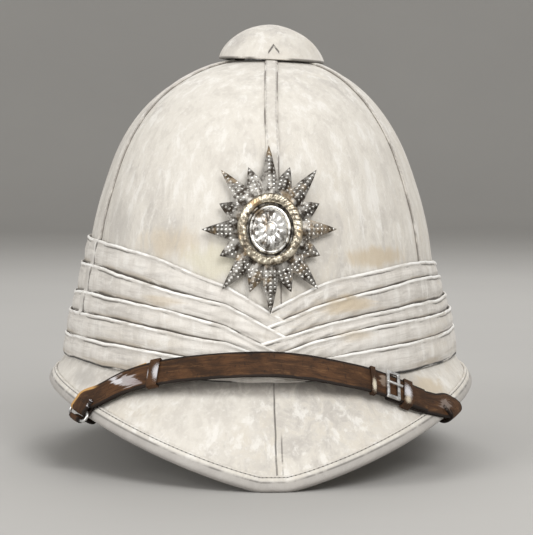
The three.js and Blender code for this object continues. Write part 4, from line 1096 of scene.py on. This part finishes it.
# painted shade along the cap's lowest edge, at both sides
rim_shade = above_rim.between(CAP_BASE_HEIGHT + 1.7, CAP_BASE_HEIGHT + 0.9)
rim_shade = rim_shade * abs(cap_x - RIM_SHADE_X).between(7, 13)
cap_cloth.paint(rim_shade * cap_cloth.strokes.between(0.3, 0.45) * 0.85, GRIME_AND_SHADE)
cap_cloth.dressed()
finished(cap, cap_cloth, "white_cloth", "ventilator_dome")

# %% [markdown]
# ## The strap's path
# The chin strap lies over the peak, hooks a wire loop at one end and goes over the brim's edge at the
# other, then up inside to two studs. A station says where the middle of its back is, which way its
# face looks and which way is across, and the strap is a grid laid from station to station.

# %% Strap stations
STRAP_WIDTH = 15.5
STRAP_THICKNESS = 1.6
STRAP_RISE = math.radians(38)
STRAP_LONG_ROUTE = [
    (42.5, 40.8, 4.9), (37, 44.8, 6.3), (32.5, 48.4, 7.5), (24.1, 54.3, 8.6), (16.3, 58.6, 8.3),
    (8, 62.2, 7.6), (0, 63.8, 7.4), (-9.1, 63.4, 7.5), (-18.6, 61.5, 7.7), (-28.6, 57.8, 8.2),
    (-39.5, 51.2, 6.6), (-49.7, 42.4, 5.1),
]
STRAP_RETURN_ROUTE = [(-49.7, 43.1, 4.3), (-39.5, 52.2, 5.8), (-33, 56.8, 6.9)]
STRAP_SHORT_TURNS = [29.5, 33, 36, 39]
STRAP_SHORT_ROUTE = [(45.5, 38.9, 2.5), (50, 37, 2.7)]
STRAP_LAYER_GAP = 0.35
LEFT_TURN = -54
RIGHT_TURN = 55
ANCHOR_TURN = 68
WALL_HEIGHTS = (58, 66, 78)
SEARCH_STEPS = 24


def cloth_point(turn, height):
    """The outermost cloth at a turn and height: the scarf above its lower edge, the brim below."""
    bottom = fold_height(turn, BOTTOM_FOLD)
    if height > bottom:
        share = (height - bottom) / (fold_height(turn, TOP_FOLD) - bottom)
        thickness = PLEAT_END_OFFSETS[-1] + (PLEAT_LIP_OFFSETS[0] - PLEAT_END_OFFSETS[-1]) * share
        return crown_point(turn, height) + outward(turn) * thickness
    low, high = 0.0, 1.0
    for _ in range(SEARCH_STEPS):
        middle = (low + high) / 2
        low, high = (middle, high) if brim_point(turn, middle).z > height else (low, middle)
    return brim_point(turn, low)


def station(turn, middle, face, across=None):
    """One place of the strap's back; the way across may be left to be found later."""
    return {"turn": turn, "middle": middle, "face": face, "across": across}


def route_station(turn, height, stand_off, flipped=False):
    """A station on the cloth at a turn and height, this far off it."""
    face = outward(turn) * math.cos(STRAP_RISE) + UP * math.sin(STRAP_RISE)
    middle = cloth_point(turn, height) + outward(turn) * stand_off
    return station(turn, middle, -face if flipped else face)


def edge_station(turn, out, face, look_out, look_face):
    """A station near the brim's edge, and the way it looks, both measured out and off the cloth."""
    middle = around_edge(turn, out, face)
    look = (around_edge(turn, out + look_out, face + look_face) - middle).normalized()
    across = (around_edge(turn, 1, 0) - around_edge(turn, 0, 0)).cross(brim_normal(turn, 1)).normalized()
    return station(turn, middle, look, across)


def edge_stations(turn, rows):
    return [edge_station(turn + turn_on, *row) for turn_on, *row in rows]


def inside_stations(turn, side, depth):
    """The last stretch: along the underside of the brim and up the inner wall to the stud."""
    made = []
    for turn_on, share in ((4, 0.6), (8, 0.25)):
        here = turn + side * turn_on
        made.append(station(here, brim_point(here, share, -BRIM_WALL - depth), -brim_normal(here, share)))
    for step, height in enumerate(WALL_HEIGHTS):
        here = side * (ANCHOR_TURN - 2 + step)
        made.append(station(here, crown_point(here, height, -CROWN_WALL - 1), -crown_normal(here, height)))
    return made


print("a strap of", STRAP_WIDTH, "mm crosses the front", STRAP_LONG_ROUTE[6][1], "mm up")

# %% [markdown]
# ## A smooth line through the stations
# Leather bends in even curves, so the few stations are joined by one smooth line, along which as many
# are set as the grid has columns. The curve is the centripetal kind, which makes no loops where two
# stations stand close together. Round a bar the strap follows a half circle instead.

# %% Smooth stations


def with_across(stations):
    """Gives every station that lacks it the way across the strap."""
    for at, here in enumerate(stations):
        if here["across"] is None:
            after = stations[min(at + 1, len(stations) - 1)]["middle"]
            along = (after - stations[max(at - 1, 0)]["middle"]).normalized()
            here["across"] = along.cross(here["face"]).normalized()
    return stations


def curve_through(points, at):
    """A point on the centripetal curve through the points; at counts from the first one."""
    low = min(int(at), len(points) - 2)
    share = at - low
    start, end = points[low], points[low + 1]
    before = points[low - 1] if low else start * 2 - end
    after = points[low + 2] if low + 2 < len(points) else end * 2 - start
    gaps = ((before, start), (start, end), (end, after))
    first, middle, last = (max((far - near).length, 1e-4) ** 0.5 for near, far in gaps)
    slope_in = (start - before) / first - (end - before) / (first + middle) + (end - start) / middle
    slope_out = (end - start) / middle - (after - start) / (middle + last) + (after - end) / last
    return eased(start, slope_in * middle, end, slope_out * middle, share)


def smoothed(given, count):
    """As many stations as count on the smooth line through the given ones."""
    stations = with_across(given)
    middles = [here["middle"] for here in stations]
    made = []
    for step in range(count):
        at = step / (count - 1) * (len(stations) - 1)
        low = min(int(at), len(stations) - 2)
        here, after, share = stations[low], stations[low + 1], at - low
        made.append(station(
            here["turn"] + (after["turn"] - here["turn"]) * share,
            curve_through(middles, at),
            here["face"].lerp(after["face"], share).normalized(),
            here["across"].lerp(after["across"], share).normalized(),
        ))
    return made


def round_bar(bar, turn, reach, degrees):
    """Stations round a bar of the wire loop, at these angles from above it."""
    made = []
    for angle in degrees:
        look_out, look_face = math.sin(math.radians(angle)), math.cos(math.radians(angle))
        place = (bar[0] + reach * look_out, bar[1] + reach * look_face)
        made.append(edge_station(turn, *place, look_out, look_face))
    return made


def path_length(stations):
    middles = [here["middle"] for here in stations]
    return sum((after - here).length for here, after in zip(middles, middles[1:]))

# %% [markdown]
# ## The long piece of the strap
# It runs over the peak to the wire loop, round the loop's near bar and back under itself. Everything
# that sits on the strap asks `strap_axes` for its place.

# %% Long strap's path
WIRE_RADIUS = 0.7
NEAR_BAR = (0.6, 4.15)
FAR_BAR = (5.2, 3.6)
BAR_REACH = WIRE_RADIUS + 0.25
OVER_BAR = NEAR_BAR[1] + BAR_REACH
UNDER_BAR = NEAR_BAR[1] - BAR_REACH

upper = [route_station(*row) for row in STRAP_LONG_ROUTE]
upper += edge_stations(LEFT_TURN, [
    (0, -7, OVER_BAR - 0.5, 0, 1), (0, -3, OVER_BAR - 0.1, 0, 1), (0, NEAR_BAR[0], OVER_BAR, 0, 1),
])
lower = edge_stations(LEFT_TURN, [
    (0, NEAR_BAR[0], UNDER_BAR, 0, -1), (0, -3, UNDER_BAR, 0, -1), (0, -7, UNDER_BAR + 0.1, 0, -1),
])
lower += [route_station(*row, flipped=True) for row in STRAP_RETURN_ROUTE]
over_peak = smoothed(upper, 120)
folded_back = round_bar(NEAR_BAR, LEFT_TURN, BAR_REACH, range(30, 180, 30)) + smoothed(lower, 30)
long_stations = over_peak + folded_back


def strap_axes(turn):
    """Axes at a turn of the long strap: its back's middle, along it, across it and off the cloth."""
    at = next(place for place, here in enumerate(over_peak) if here["turn"] < turn)
    here, after = over_peak[at - 1], over_peak[at]
    share = (here["turn"] - turn) / (here["turn"] - after["turn"])
    along = (after["middle"] - here["middle"]).normalized()
    across = along.cross(here["face"]).normalized()
    return here["middle"].lerp(after["middle"], share), along, across, across.cross(along).normalized()


print("the long piece is", round(path_length(long_stations)), "mm")

# %% [markdown]
# ## The short piece and the tab
# The short piece starts under the buckle, goes over the brim's edge and in to its stud. The tab goes
# from the wire loop's far bar down round the edge to the other stud. Both take the plain way.

# %% Short strap's path
short_given = []
for turn in STRAP_SHORT_TURNS:
    middle, _, across, face = strap_axes(turn)
    short_given.append(station(turn, middle - face * (STRAP_THICKNESS + STRAP_LAYER_GAP), face, -across))
short_given += [route_station(*row) for row in STRAP_SHORT_ROUTE]
short_given += edge_stations(RIGHT_TURN, [
    (-1.4, -4, 2.2, 0, 1), (-0.4, 0.8, 2.6, 0.35, 0.9), (0, 3.6, 1, 0.9, 0.4), (0.2, 4.1, -2, 1, -0.2),
    (0.6, 2.6, -5.6, 0.4, -0.9), (1.2, -3, -6.6, 0, -1),
])
short_stations = smoothed(short_given + inside_stations(RIGHT_TURN, 1, 3), 150)
tab_given = edge_stations(LEFT_TURN, [
    (0, FAR_BAR[0] - 1.1, FAR_BAR[1] - 2, 0.5, -0.85), (-0.1, 3.4, -0.6, 1, 0), (-0.3, 3.2, -2.8, 1, -0.2),
    (-0.6, 2.2, -5.4, 0.5, -0.85), (-1.2, -3, -6.2, 0, -1),
])
tab_stations = round_bar(FAR_BAR, LEFT_TURN, BAR_REACH, range(0, 181, 45))
tab_stations += smoothed(tab_given + inside_stations(LEFT_TURN, -1, 2.4), 70)
strap_length = path_length(long_stations) + path_length(short_stations) + path_length(tab_stations)
print("the whole strap is", round(strap_length), "mm long")

# %% [markdown]
# ## Old leather
# The strap is brown bridle leather that has cracked a little, worn dark at its edges and been rubbed pale
# where it bends. All of that follows the strap, so it is painted on the UV map, which runs along the strap
# and across it in metres. Scuffs and painted highlights are pale spots at points of the helmet with a ragged
# rim.

# %% Leather finish
BROWN = (0.036, 0.016, 0.0062)
RUSSET = (0.086, 0.038, 0.0145)
NEAR_BLACK = (0.012, 0.008, 0.006)
TAN = (0.50, 0.285, 0.10)
RUBBED_AND_SHEEN = (0.60, 0.585, 0.60)
DARK_STREAK = (0.022, 0.0115, 0.0065)
LIGHT_STREAK = (0.17, 0.085, 0.034)
SPOT_RAGGEDNESS = 3.2


class LeatherFinish(Finish):
    """Brown leather for a strap of this width; on_length and on_width are millimetres on it."""

    def __init__(self, name, width):
        super().__init__(name, roughness=0.5)
        on_strap = self.place("UV")
        self.on_length = self.along(on_strap, 0) * 1000
        self.on_width = self.along(on_strap, 1) * 1000
        mottle = self.noise(self.spot, scale=45, detail=6, roughness=0.65, distortion=0.8)
        drawn_out = self.place("UV", (22, 110, 1))
        self.streaks = self.noise(drawn_out, scale=4, detail=7, roughness=0.7, distortion=0.9)
        grain_cells = {"Vector": self.spot, "Scale": 900}
        grain = self.node("ShaderNodeTexVoronoi", {"feature": "DISTANCE_TO_EDGE"}, grain_cells)
        self.colour = self.mix(mottle.between(0.35, 0.65), BROWN, RUSSET)
        self.paint(self.streaks.between(0.50, 0.62) * 0.6, DARK_STREAK)
        self.paint(self.streaks.between(0.44, 0.36) * mottle * 0.9, LIGHT_STREAK)
        from_middle = abs(self.on_width - width / 2) + (self.streaks - 0.5) * 2.2
        self.paint(from_middle.between(width / 2 - 1.7, width / 2 - 0.8) * 0.95, NEAR_BLACK)
        cracks = self.noise(self.place("UV", (220, 60, 1)), scale=3, detail=3, roughness=0.6)
        self.paint(cracks.between(0.60, 0.68) * 0.5, NEAR_BLACK)
        self.bump(grain.between(0, 0.35), strength=0.5, depth=0.12)
        self.bump(self.streaks, strength=0.5, depth=0.25)

    def pale_spot(self, middle, reach, colour=RUBBED_AND_SHEEN, strength=0.9):
        """A pale spot with a torn rim round a point of the helmet, for rubbed scuffs and painted highlights.
        """
        torn = self.reaches_from(middle, reach) + (self.streaks - 0.5) * SPOT_RAGGEDNESS
        self.paint(torn.between(1.0, 0.6) * strength, colour)

    def dressed(self):
        self.set("Base Color", self.colour)
        self.set("Roughness", 0.5 + 0.3 * self.streaks)
        self.shader.inputs["Specular IOR Level"].default_value = 0.22
        return self

# %% [markdown]
# ## Laying the leather
# The strap is laid like cloth, one grid column to a station. Its face is a little higher along its
# middle, its corners are rounded, and it waves slightly, as old leather does.

# %% Laid strap
CAMBER = 0.22
LEATHER_WAVE = (0.08, 9)


def strap_place(turn, across=0.0):
    """A point on the long strap's face, across from its middle."""
    middle, _, aside, face = strap_axes(turn)
    return middle + face * STRAP_THICKNESS + aside * across


def laid_strap(name, stations, width):
    """A strap of leather laid from station to station, with rounded edges."""
    count = len(stations) - 1

    def lay(along, up):
        here = stations[round(along * count)]
        across = 0.5 - up
        lift = STRAP_THICKNESS - CAMBER + CAMBER * (1 - (2 * across) ** 2)
        lift += ripple(here["middle"] + UP * up * 9, *LEATHER_WAVE, 3)
        return here["middle"] + here["across"] * across * width + here["face"] * lift

    piece = laid_cloth(name, count, 10, (path_length(stations), width), lay)
    thicken(piece, STRAP_THICKNESS - 0.25, rim=0.35)
    return piece

# %% [markdown]
# ## The strap's marks
# Near the wire loop the lower edge is chipped and the upper one rubbed down to tan, and two rows of stitches
# close the fold. Pale spots beside the left keeper are painted highlights, and a brown scuff lies beside the
# middle keeper, where the leather bends.

# %% Long strap
LIGHT_SHEEN = (0.44, 0.41, 0.41)
DULL_SHEEN = (0.34, 0.29, 0.29)
BROWN_SCUFF = (0.3, 0.24, 0.19)
STITCH_ROWS = (16.5, 19.5)
STITCH_LENGTH = 2.2
strap_leather = LeatherFinish("strap_leather", STRAP_WIDTH)
loop_at = path_length(long_stations) * (len(over_peak) - 1) / (len(long_stations) - 1)


def before_loop(distance):
    """The UV place, in millimetres, of a point of the strap this far from its wire loop."""
    return loop_at * (1 - distance / path_length(over_peak))


near_loop = strap_leather.on_length.between(before_loop(50), before_loop(44))
pale_edge = (strap_leather.on_width + 1.4 * strap_leather.streaks).between(3.2, 2.4)
strap_leather.paint(pale_edge * near_loop, TAN)
chips = strap_leather.noise(strap_leather.place("UV", (160, 40, 1)), scale=2.2, detail=3).between(0.46, 0.54)
low_edge = strap_leather.on_width.between(STRAP_WIDTH - 2, STRAP_WIDTH - 1.2)
chipped = strap_leather.on_length.between(before_loop(38), before_loop(34))
chipped = chipped * strap_leather.on_length.between(before_loop(12), before_loop(15))
strap_leather.paint(chips * low_edge * chipped, RUBBED_AND_SHEEN)
for distance in STITCH_ROWS:
    row = strap_leather.on_length.line(before_loop(distance), 0.6, 0.25)
    dots = strap_leather.on_width.every(STITCH_LENGTH).between(0.1, 0.22)
    stitches = row * dots * strap_leather.on_width.between(2, 3)
    strap_leather.paint(stitches * 0.95, NEAR_BLACK)
    strap_leather.bump(1 - stitches, strength=0.8, depth=0.4)
# painted highlights on the strap between the left keeper and the wire loop
strap_leather.pale_spot(strap_place(-38.5, 0.5), (8, 11, 3.4), LIGHT_SHEEN, 0.8)
strap_leather.pale_spot(strap_place(-41.5, 3.2), (5, 7, 2.2))
strap_leather.pale_spot(strap_place(-35, -3.2), (5, 7, 1.8), DULL_SHEEN, 0.7)
strap_leather.pale_spot(strap_place(28.5, 2), (2.6, 5, 3.4), BROWN_SCUFF, 0.6)
strap_leather.dressed()
strap_long = laid_strap("strap_over_peak", long_stations, STRAP_WIDTH)
finished(strap_long, strap_leather, "strap_leather", "strap_long")

# %% Short strap and tab
SHORT_SCUFF = (0.26, 0.215, 0.19)
SHORT_SCUFF_STATION = 48
TAB_WIDTH = 10

short_leather = LeatherFinish("short_strap_leather", STRAP_WIDTH)
rubbed = short_stations[SHORT_SCUFF_STATION]
short_leather.pale_spot(rubbed["middle"] + rubbed["face"] * STRAP_THICKNESS, (4.5, 7, 4), SHORT_SCUFF, 0.6)
short_leather.dressed()
strap_short = laid_strap("strap_over_rim", short_stations, STRAP_WIDTH)
finished(strap_short, short_leather, "strap_leather", "strap_short")

tab_leather = LeatherFinish("tab_leather", TAB_WIDTH).dressed()
tab = laid_strap("strap_tab_inside", tab_stations, TAB_WIDTH)
finished(tab, tab_leather, "strap_leather", "strap_inner_left")

# %% [markdown]
# ## Keepers
# A keeper is a leather band round the strap. It starts as a box of the strap's own section whose two
# ends are taken away. Its faces are divided, the upper one swells a little, and the wall is added
# outwards with rounded corners. Then it is moved to its place with the strap's own axes there.

# %% Keepers
KEEPER_WALL = 0.85
KEEPER_GAP = 0.3
KEEPER_SWELL = 0.35
KEEPERS = {"keeper_left": (-29.5, 6.5, 0), "keeper_middle": (25.4, 3, 0), "keeper_right": (36, 5.5, 1.95)}
PALE_TAN = (0.62, 0.56, 0.44)
TORN_TAN = (0.58, 0.50, 0.38)
# the pale grey spots on the left and right keepers are painted highlights; the tan ones are wear
KEEPER_SHEEN_AND_WEAR = {
    "keeper_left": [
        (0.9, -1, (2.6, 5, 6.4), RUBBED_AND_SHEEN, 0.95), (-2, 0, (0.8, 4, 5.5), RUBBED_AND_SHEEN, 0.9),
    ],
    "keeper_middle": [(0.3, -3.5, (1.4, 5, 4.2), PALE_TAN, 0.95)],
    "keeper_right": [
        (0, -1, (2.6, 5, 6.4), RUBBED_AND_SHEEN, 0.95), (-2, 0, (0.8, 4, 5.5), RUBBED_AND_SHEEN, 0.9),
        (0, -5, (2.2, 4, 2.6), TORN_TAN, 0.85),
    ],
}
NO_STRAP_EDGE = 1000


def set_on_strap(piece, turn, lift):
    """Moves a piece made round the origin, x along and y across, onto the long strap."""
    middle, along, across, face = strap_axes(turn)
    axes = Matrix((along, -across, face)).transposed().to_4x4()
    piece.data.transform(Matrix.Translation((middle + face * lift) * MM) @ axes)
    piece.data.update()


for name, (turn, length, below) in KEEPERS.items():
    height = STRAP_THICKNESS + below + 2 * KEEPER_GAP
    select_only()
    bpy.ops.mesh.primitive_cube_add(size=1)
    keeper = added(f"leather_{name}")
    start_edit()
    stretch_all(length, STRAP_WIDTH + 2 * KEEPER_GAP, height)
    bpy.ops.mesh.select_mode(type="FACE")
    bpy.ops.mesh.select_all(action="DESELECT")
    end_edit()
    for face in keeper.data.polygons:
        face.select = abs(face.normal.x) > 0.9
    bpy.ops.object.mode_set(mode="EDIT")
    bpy.ops.mesh.delete(type="FACE")
    bpy.ops.mesh.select_all(action="SELECT")
    bpy.ops.mesh.subdivide(number_cuts=4)
    end_edit()
    for corner in keeper.data.vertices:
        side = abs(corner.co.y) / (STRAP_WIDTH / 2 * MM)
        if corner.co.z > 0:
            corner.co.z += KEEPER_SWELL * MM * (1 - min(side, 1) ** 2)
    thicken(keeper, -KEEPER_WALL, rim=0.3, segments=3)
    set_on_strap(keeper, turn, (STRAP_THICKNESS - below) / 2)
    keeper_leather = LeatherFinish(f"{name}_leather", NO_STRAP_EDGE)
    for turn_on, across, reach, colour, strength in KEEPER_SHEEN_AND_WEAR[name]:
        keeper_leather.pale_spot(strap_place(turn + turn_on, across), reach, colour, strength)
    keeper_leather.dressed()
    finished(keeper, keeper_leather, "strap_leather", name)

# %% [markdown]
# ## Steel fittings
# The buckle is a plate whose middle is inset and cut out, given its thickness and rounded by a bevel.
# The loop at the other end is a round wire, a curve with a bevel depth that is then made a mesh. Both are
# plated steel gone dull in patches.

# %% Metal finish
BRIGHT_STEEL = (0.78, 0.78, 0.77)
DULL_STEEL = (0.34, 0.335, 0.33)


class MetalFinish(Finish):
    """Metal that is bright where it is rubbed and dull in patches."""

    def __init__(self, name, bright, dull, roughness):
        super().__init__(name, roughness, metallic=1)
        worn = self.noise(self.spot, scale=260, detail=5, roughness=0.65)
        self.colour = self.mix(worn.between(0.4, 0.62), bright, dull)
        self.set("Base Color", self.colour)
        self.set("Roughness", roughness - 0.08 + 0.3 * worn)
        self.bump(self.noise(self.spot, scale=900, detail=3), strength=0.35, depth=0.06)


steel = MetalFinish("dull_steel", BRIGHT_STEEL, DULL_STEEL, roughness=0.32)
for name in ("ventilator_collar", "anchor_left", "anchor_right", "badge_back_bar"):
    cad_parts[name].data.materials.clear()
    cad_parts[name].data.materials.append(steel.material)
print("steel on the collar, the two studs and the back bar")

# %% Buckle
BUCKLE_TURN = 31
BUCKLE_LENGTH = 8.5
BUCKLE_WIDTH = 18
BUCKLE_BAR = 1.8
BUCKLE_THICKNESS = 1.6
BUCKLE_LIFT = 0.4
PRONG_RADIUS = 0.75
PRONG_OVERHANG = 1.6
PRONG_LIFT = 1.25

select_only()
bpy.ops.mesh.primitive_plane_add(size=1)
buckle = added("buckle")
start_edit()
stretch_all(BUCKLE_LENGTH, BUCKLE_WIDTH, 1)
bpy.ops.mesh.inset(thickness=BUCKLE_BAR * MM)
bpy.ops.mesh.delete(type="FACE")
end_edit()
thicken(buckle, BUCKLE_THICKNESS, rim=0.5, segments=3)
set_on_strap(buckle, BUCKLE_TURN, STRAP_THICKNESS + BUCKLE_LIFT + BUCKLE_THICKNESS)
finished(buckle, steel, "steel", "buckle_frame")

select_only()
prong_length = (BUCKLE_LENGTH + PRONG_OVERHANG) * MM
bpy.ops.mesh.primitive_cylinder_add(
    vertices=20, radius=PRONG_RADIUS * MM, depth=prong_length, rotation=(0, math.pi / 2, 0),
)
prong = added("buckle_tongue")
bpy.ops.object.transform_apply(location=False, rotation=True, scale=False)
apply_modifier(prong, "BEVEL", width=0.35 * MM, segments=3)
set_on_strap(prong, BUCKLE_TURN, STRAP_THICKNESS + BUCKLE_THICKNESS + PRONG_LIFT)
finished(prong, steel, "steel", "buckle_prong")

# %% Wire loop
LOOP_HALF_LENGTH = 9.4
WIRE_CORNER = 1.4
near_bar, far_bar = around_edge(LEFT_TURN, *NEAR_BAR), around_edge(LEFT_TURN, *FAR_BAR)
along_rim = (edge_point(LEFT_TURN + 1) - edge_point(LEFT_TURN - 1)).normalized()
over_rim = (far_bar - near_bar).normalized()
wire_points = []
for bar, side, step in ((near_bar, -1, 1), (far_bar, -1, -1), (far_bar, 1, -1), (near_bar, 1, 1)):
    on_bar = bar + along_rim * side * (LOOP_HALF_LENGTH - WIRE_CORNER)
    on_end = bar + along_rim * side * LOOP_HALF_LENGTH + over_rim * step * WIRE_CORNER
    wire_points += [on_bar, on_end] if (side == -1) == (bar is near_bar) else [on_end, on_bar]
select_only()
bpy.ops.curve.primitive_bezier_curve_add()
wire = added("wire_loop")
bpy.ops.object.mode_set(mode="EDIT")
bpy.ops.curve.select_all(action="SELECT")
bpy.ops.curve.subdivide(number_cuts=len(wire_points) - 2)
bpy.ops.curve.cyclic_toggle()
end_edit()
for knot, point in zip(wire.data.splines[0].bezier_points, wire_points):
    knot.co = point * MM
    knot.handle_left_type = knot.handle_right_type = "AUTO"
wire.data.bevel_depth = (WIRE_RADIUS + 0.15) * MM
wire.data.bevel_resolution = 4
bpy.ops.object.convert(target="MESH")
finished(wire, steel, "steel", "strap_loop_left")

# %% [markdown]
# ## The plate in front
# The plate is a generic sunburst of sixteen rays in darkened silver. It is laid like the cloth: a grid
# whose columns go round and whose rows go in from the outline, and `plate_point` bends every place of
# it to the crown.

# %% Plate form
PLATE_HEIGHT = 134.4
PLATE_STAND_OFF = 2.6
PLATE_SLOPE = 0.97
RAY_COUNT = 16
RAY_WIDTH = 35
RAY_HEIGHT = 46
SHORT_RAY = 0.8
VALLEY = 0.6
STAR_DEPTH = 0.76
RIDGE_LIFTS = [(0, 2.2, 2.0), (0.34, 1.9, 1.7), (0.68, 2.6, 1.4), (1, 1.3, 1.0)]


def plate_point(across, up, lift):
    """A place of the flat plate, across and up from its middle, bent to the crown's front."""
    height = PLATE_HEIGHT + up * PLATE_SLOPE
    turn = math.degrees(math.asin(across / crown_oval(height)[2]))
    return crown_point(turn, height, lift)


def star_edge(at):
    """The outline where at counts half rays round the plate: whole numbers are its corners."""
    low = math.floor(at)
    ends = []
    for corner in (low, low + 1):
        reach = VALLEY if corner % 2 else (1 if corner % 4 == 0 else SHORT_RAY)
        angle = math.pi * corner / RAY_COUNT
        ends.append(Vector((RAY_WIDTH * math.sin(angle), RAY_HEIGHT * math.cos(angle))) * reach)
    return ends[0].lerp(ends[1], at - low)


def star_lift(at, share):
    """How high the plate's face is: each ray is a ridge that falls to the valleys beside it."""
    ridge, valley = between(RIDGE_LIFTS, 1, share), between(RIDGE_LIFTS, 2, share)
    from_ridge = abs(at / 2 - round(at / 2)) * 2
    return PLATE_STAND_OFF + ridge + (valley - ridge) * from_ridge


def star_lay(along, up):
    at = along * 2 * RAY_COUNT
    share = 1 - STAR_DEPTH * up
    place = star_edge(at) * share
    return plate_point(place.x, place.y, star_lift(at, share))


print("the plate is", 2 * RAY_WIDTH, "mm wide and", 2 * RAY_HEIGHT, "mm high")

# %% Star plate
BRIGHT_SILVER = (0.86, 0.85, 0.82)
GREY_SILVER = (0.30, 0.285, 0.26)
TARNISH = (0.045, 0.036, 0.028)
BRONZED = (0.42, 0.30, 0.17)


def silver_finish(name, bright, dark, bronzed, roughness):
    """Old silver: bright where it is rubbed, dark in the hollows, bronzed in patches."""
    finish = MetalFinish(name, bright, dark, roughness)
    warm = finish.noise(finish.spot, scale=75, detail=4, roughness=0.6)
    finish.paint(warm.between(0.52, 0.66) * bronzed, BRONZED)
    finish.set("Base Color", finish.colour)
    return finish


plate_silver = silver_finish("tarnished_silver", GREY_SILVER, TARNISH, 0.5, 0.42)
star = laid_cloth("plate_star", RAY_COUNT * 8, 10, (180, 30), star_lay, ring=True)
thicken(star, 0.9, rim=0.15)
finished(star, plate_silver, "silver", "badge_star", angle=20)

# %% [markdown]
# ## The beads
# Each ray carries rows of small beads, set on a square net that is turned with the ray. `star_share`
# tells whether a place is still on the plate. A bead is a ball of few faces, and all of them are added
# inside one piece in Edit Mode, so they stay one object.

# %% Beads of the plate
BEAD_PITCH = 2.15
BEAD_RADIUS = 0.98
BEAD_SIDES = {"segments": 8, "ring_count": 5, "radius": BEAD_RADIUS * MM}
TIP_MARGIN = 1.9
BEAD_ROWS = 30
BEAD_COLUMNS = 4
BARE_MIDDLE = (19.2, 22)
OUTERMOST = 0.955


def star_share(place):
    """How far out a place of the plate is, from 0 in its middle to 1 at the outline."""
    angle = math.atan2(place.x / RAY_WIDTH, place.y / RAY_HEIGHT) % (2 * math.pi)
    at = angle * RAY_COUNT / math.pi
    low = math.floor(at)
    start, end = star_edge(low), star_edge(low + 0.9999)
    edge = end - start
    return (place.x * edge.y - place.y * edge.x) / (start.x * edge.y - start.y * edge.x), at


bead_places = []
for ray in range(RAY_COUNT):
    tip = star_edge(2 * ray)
    way = tip.normalized()
    aside = Vector((way.y, -way.x))
    for row in range(BEAD_ROWS):
        for column in range(-BEAD_COLUMNS, BEAD_COLUMNS + 1):
            place = way * (tip.length - TIP_MARGIN - row * BEAD_PITCH) + aside * column * BEAD_PITCH
            share, at = star_share(place)
            clear_of_ring = math.hypot(place.x / BARE_MIDDLE[0], place.y / BARE_MIDDLE[1]) > 1
            if share < OUTERMOST and clear_of_ring and abs(at / 2 - ray) % RAY_COUNT < 0.5:
                bead_places.append((place, star_lift(at, share)))

bead_silver = silver_finish("bead_silver", BRIGHT_SILVER, GREY_SILVER, 0.45, 0.24)
select_only()
bpy.ops.mesh.primitive_uv_sphere_add(**BEAD_SIDES)
beads = added("plate_beads")
beads.data.transform(Matrix.Translation(plate_point(*bead_places[0][0], bead_places[0][1]) * MM))
bpy.ops.object.mode_set(mode="EDIT")
for place, lift in bead_places[1:]:
    bpy.ops.mesh.primitive_uv_sphere_add(**BEAD_SIDES, location=plate_point(*place, lift + 0.15) * MM)
end_edit()
finished(beads, bead_silver, "silver", angle=70)
print(len(bead_places), "beads")

# %% [markdown]
# ## Ring and boss
# A rope-edged ring and a domed boss with a rosette stand in the middle of the plate. Both are laid on
# the plate too. The ring's section turns once round itself, and a twist along it makes the rope.

# %% Ring and boss
RING_WIDTH = 14
RING_HEIGHT = 16.8
RING_BODY = 2.3
RING_LIFT = PLATE_STAND_OFF + 1.9 + RING_BODY + 0.75
ROPE_TURNS = 34
ROPE_DEPTH = 0.22
FLUTE_DEPTH = 0.3
BOSS_WIDTH = 10.6
BOSS_HEIGHT = 13.2
BOSS_LIFT = PLATE_STAND_OFF + 2.3
BOSS_RISE = 3.6
PETALS = 12
ROSETTE = (0.3, 0.85)
RIM_START = 0.86
BUTTON_END = 0.26
GILT = (0.66, 0.60, 0.48)
DARK_GILT = (0.16, 0.13, 0.095)
HOLLOW_SILVER = (0.12, 0.105, 0.09)


def ring_lay(along, up):
    angle, around = along * 2 * math.pi, -up * 2 * math.pi
    rope = ROPE_DEPTH * math.sin(ROPE_TURNS * angle + 2 * around) * max(0, math.sin(around))
    flute = FLUTE_DEPTH * max(0, math.cos(around * 3 + math.pi / 2)) * max(0, math.sin(around)) ** 0.5
    spread = (RING_BODY + rope - flute) * math.cos(around)
    lift = RING_LIFT + (RING_BODY + rope - flute) * math.sin(around)
    across, above = (RING_WIDTH + spread) * math.sin(angle), (RING_HEIGHT + spread) * math.cos(angle)
    return plate_point(across, above, lift)


def boss_lay(along, up):
    angle, share = along * 2 * math.pi, max(1 - up, 0.002)
    dome = BOSS_RISE * (1 - share ** 2) ** 0.75
    petal = abs(math.sin(PETALS * angle / 2)) ** 0.7
    from_rosette = (share - ROSETTE[0]) / (ROSETTE[1] - ROSETTE[0])
    rosette = 0.75 * petal * math.sin(math.pi * from_rosette) if 0 < from_rosette < 1 else 0
    rim = 0.7 * max(0, math.sin(math.pi * (share - RIM_START) / (1 - RIM_START))) if share > RIM_START else 0
    button = 0.6 * max(0, 1 - (share / BUTTON_END) ** 2) ** 0.5
    across, above = share * BOSS_WIDTH * math.sin(angle), share * BOSS_HEIGHT * math.cos(angle)
    return plate_point(across, above, BOSS_LIFT + 0.5 + 0.82 * dome + rosette + rim + button)


gilt = silver_finish("worn_gilt", GILT, DARK_GILT, 0.9, 0.3)
ring = laid_cloth("plate_ring", 272, 24, (100, 14), ring_lay, ring=True)
finished(ring, gilt, "gilt", "badge_ring", angle=70)

boss_silver = silver_finish("boss_silver", BRIGHT_SILVER, HOLLOW_SILVER, 0.6, 0.26)
boss = laid_cloth("plate_boss", 192, 34, (75, 12), boss_lay, ring=True)
thicken(boss, 0.6)
finished(boss, boss_silver, "silver", "badge_boss", angle=50)
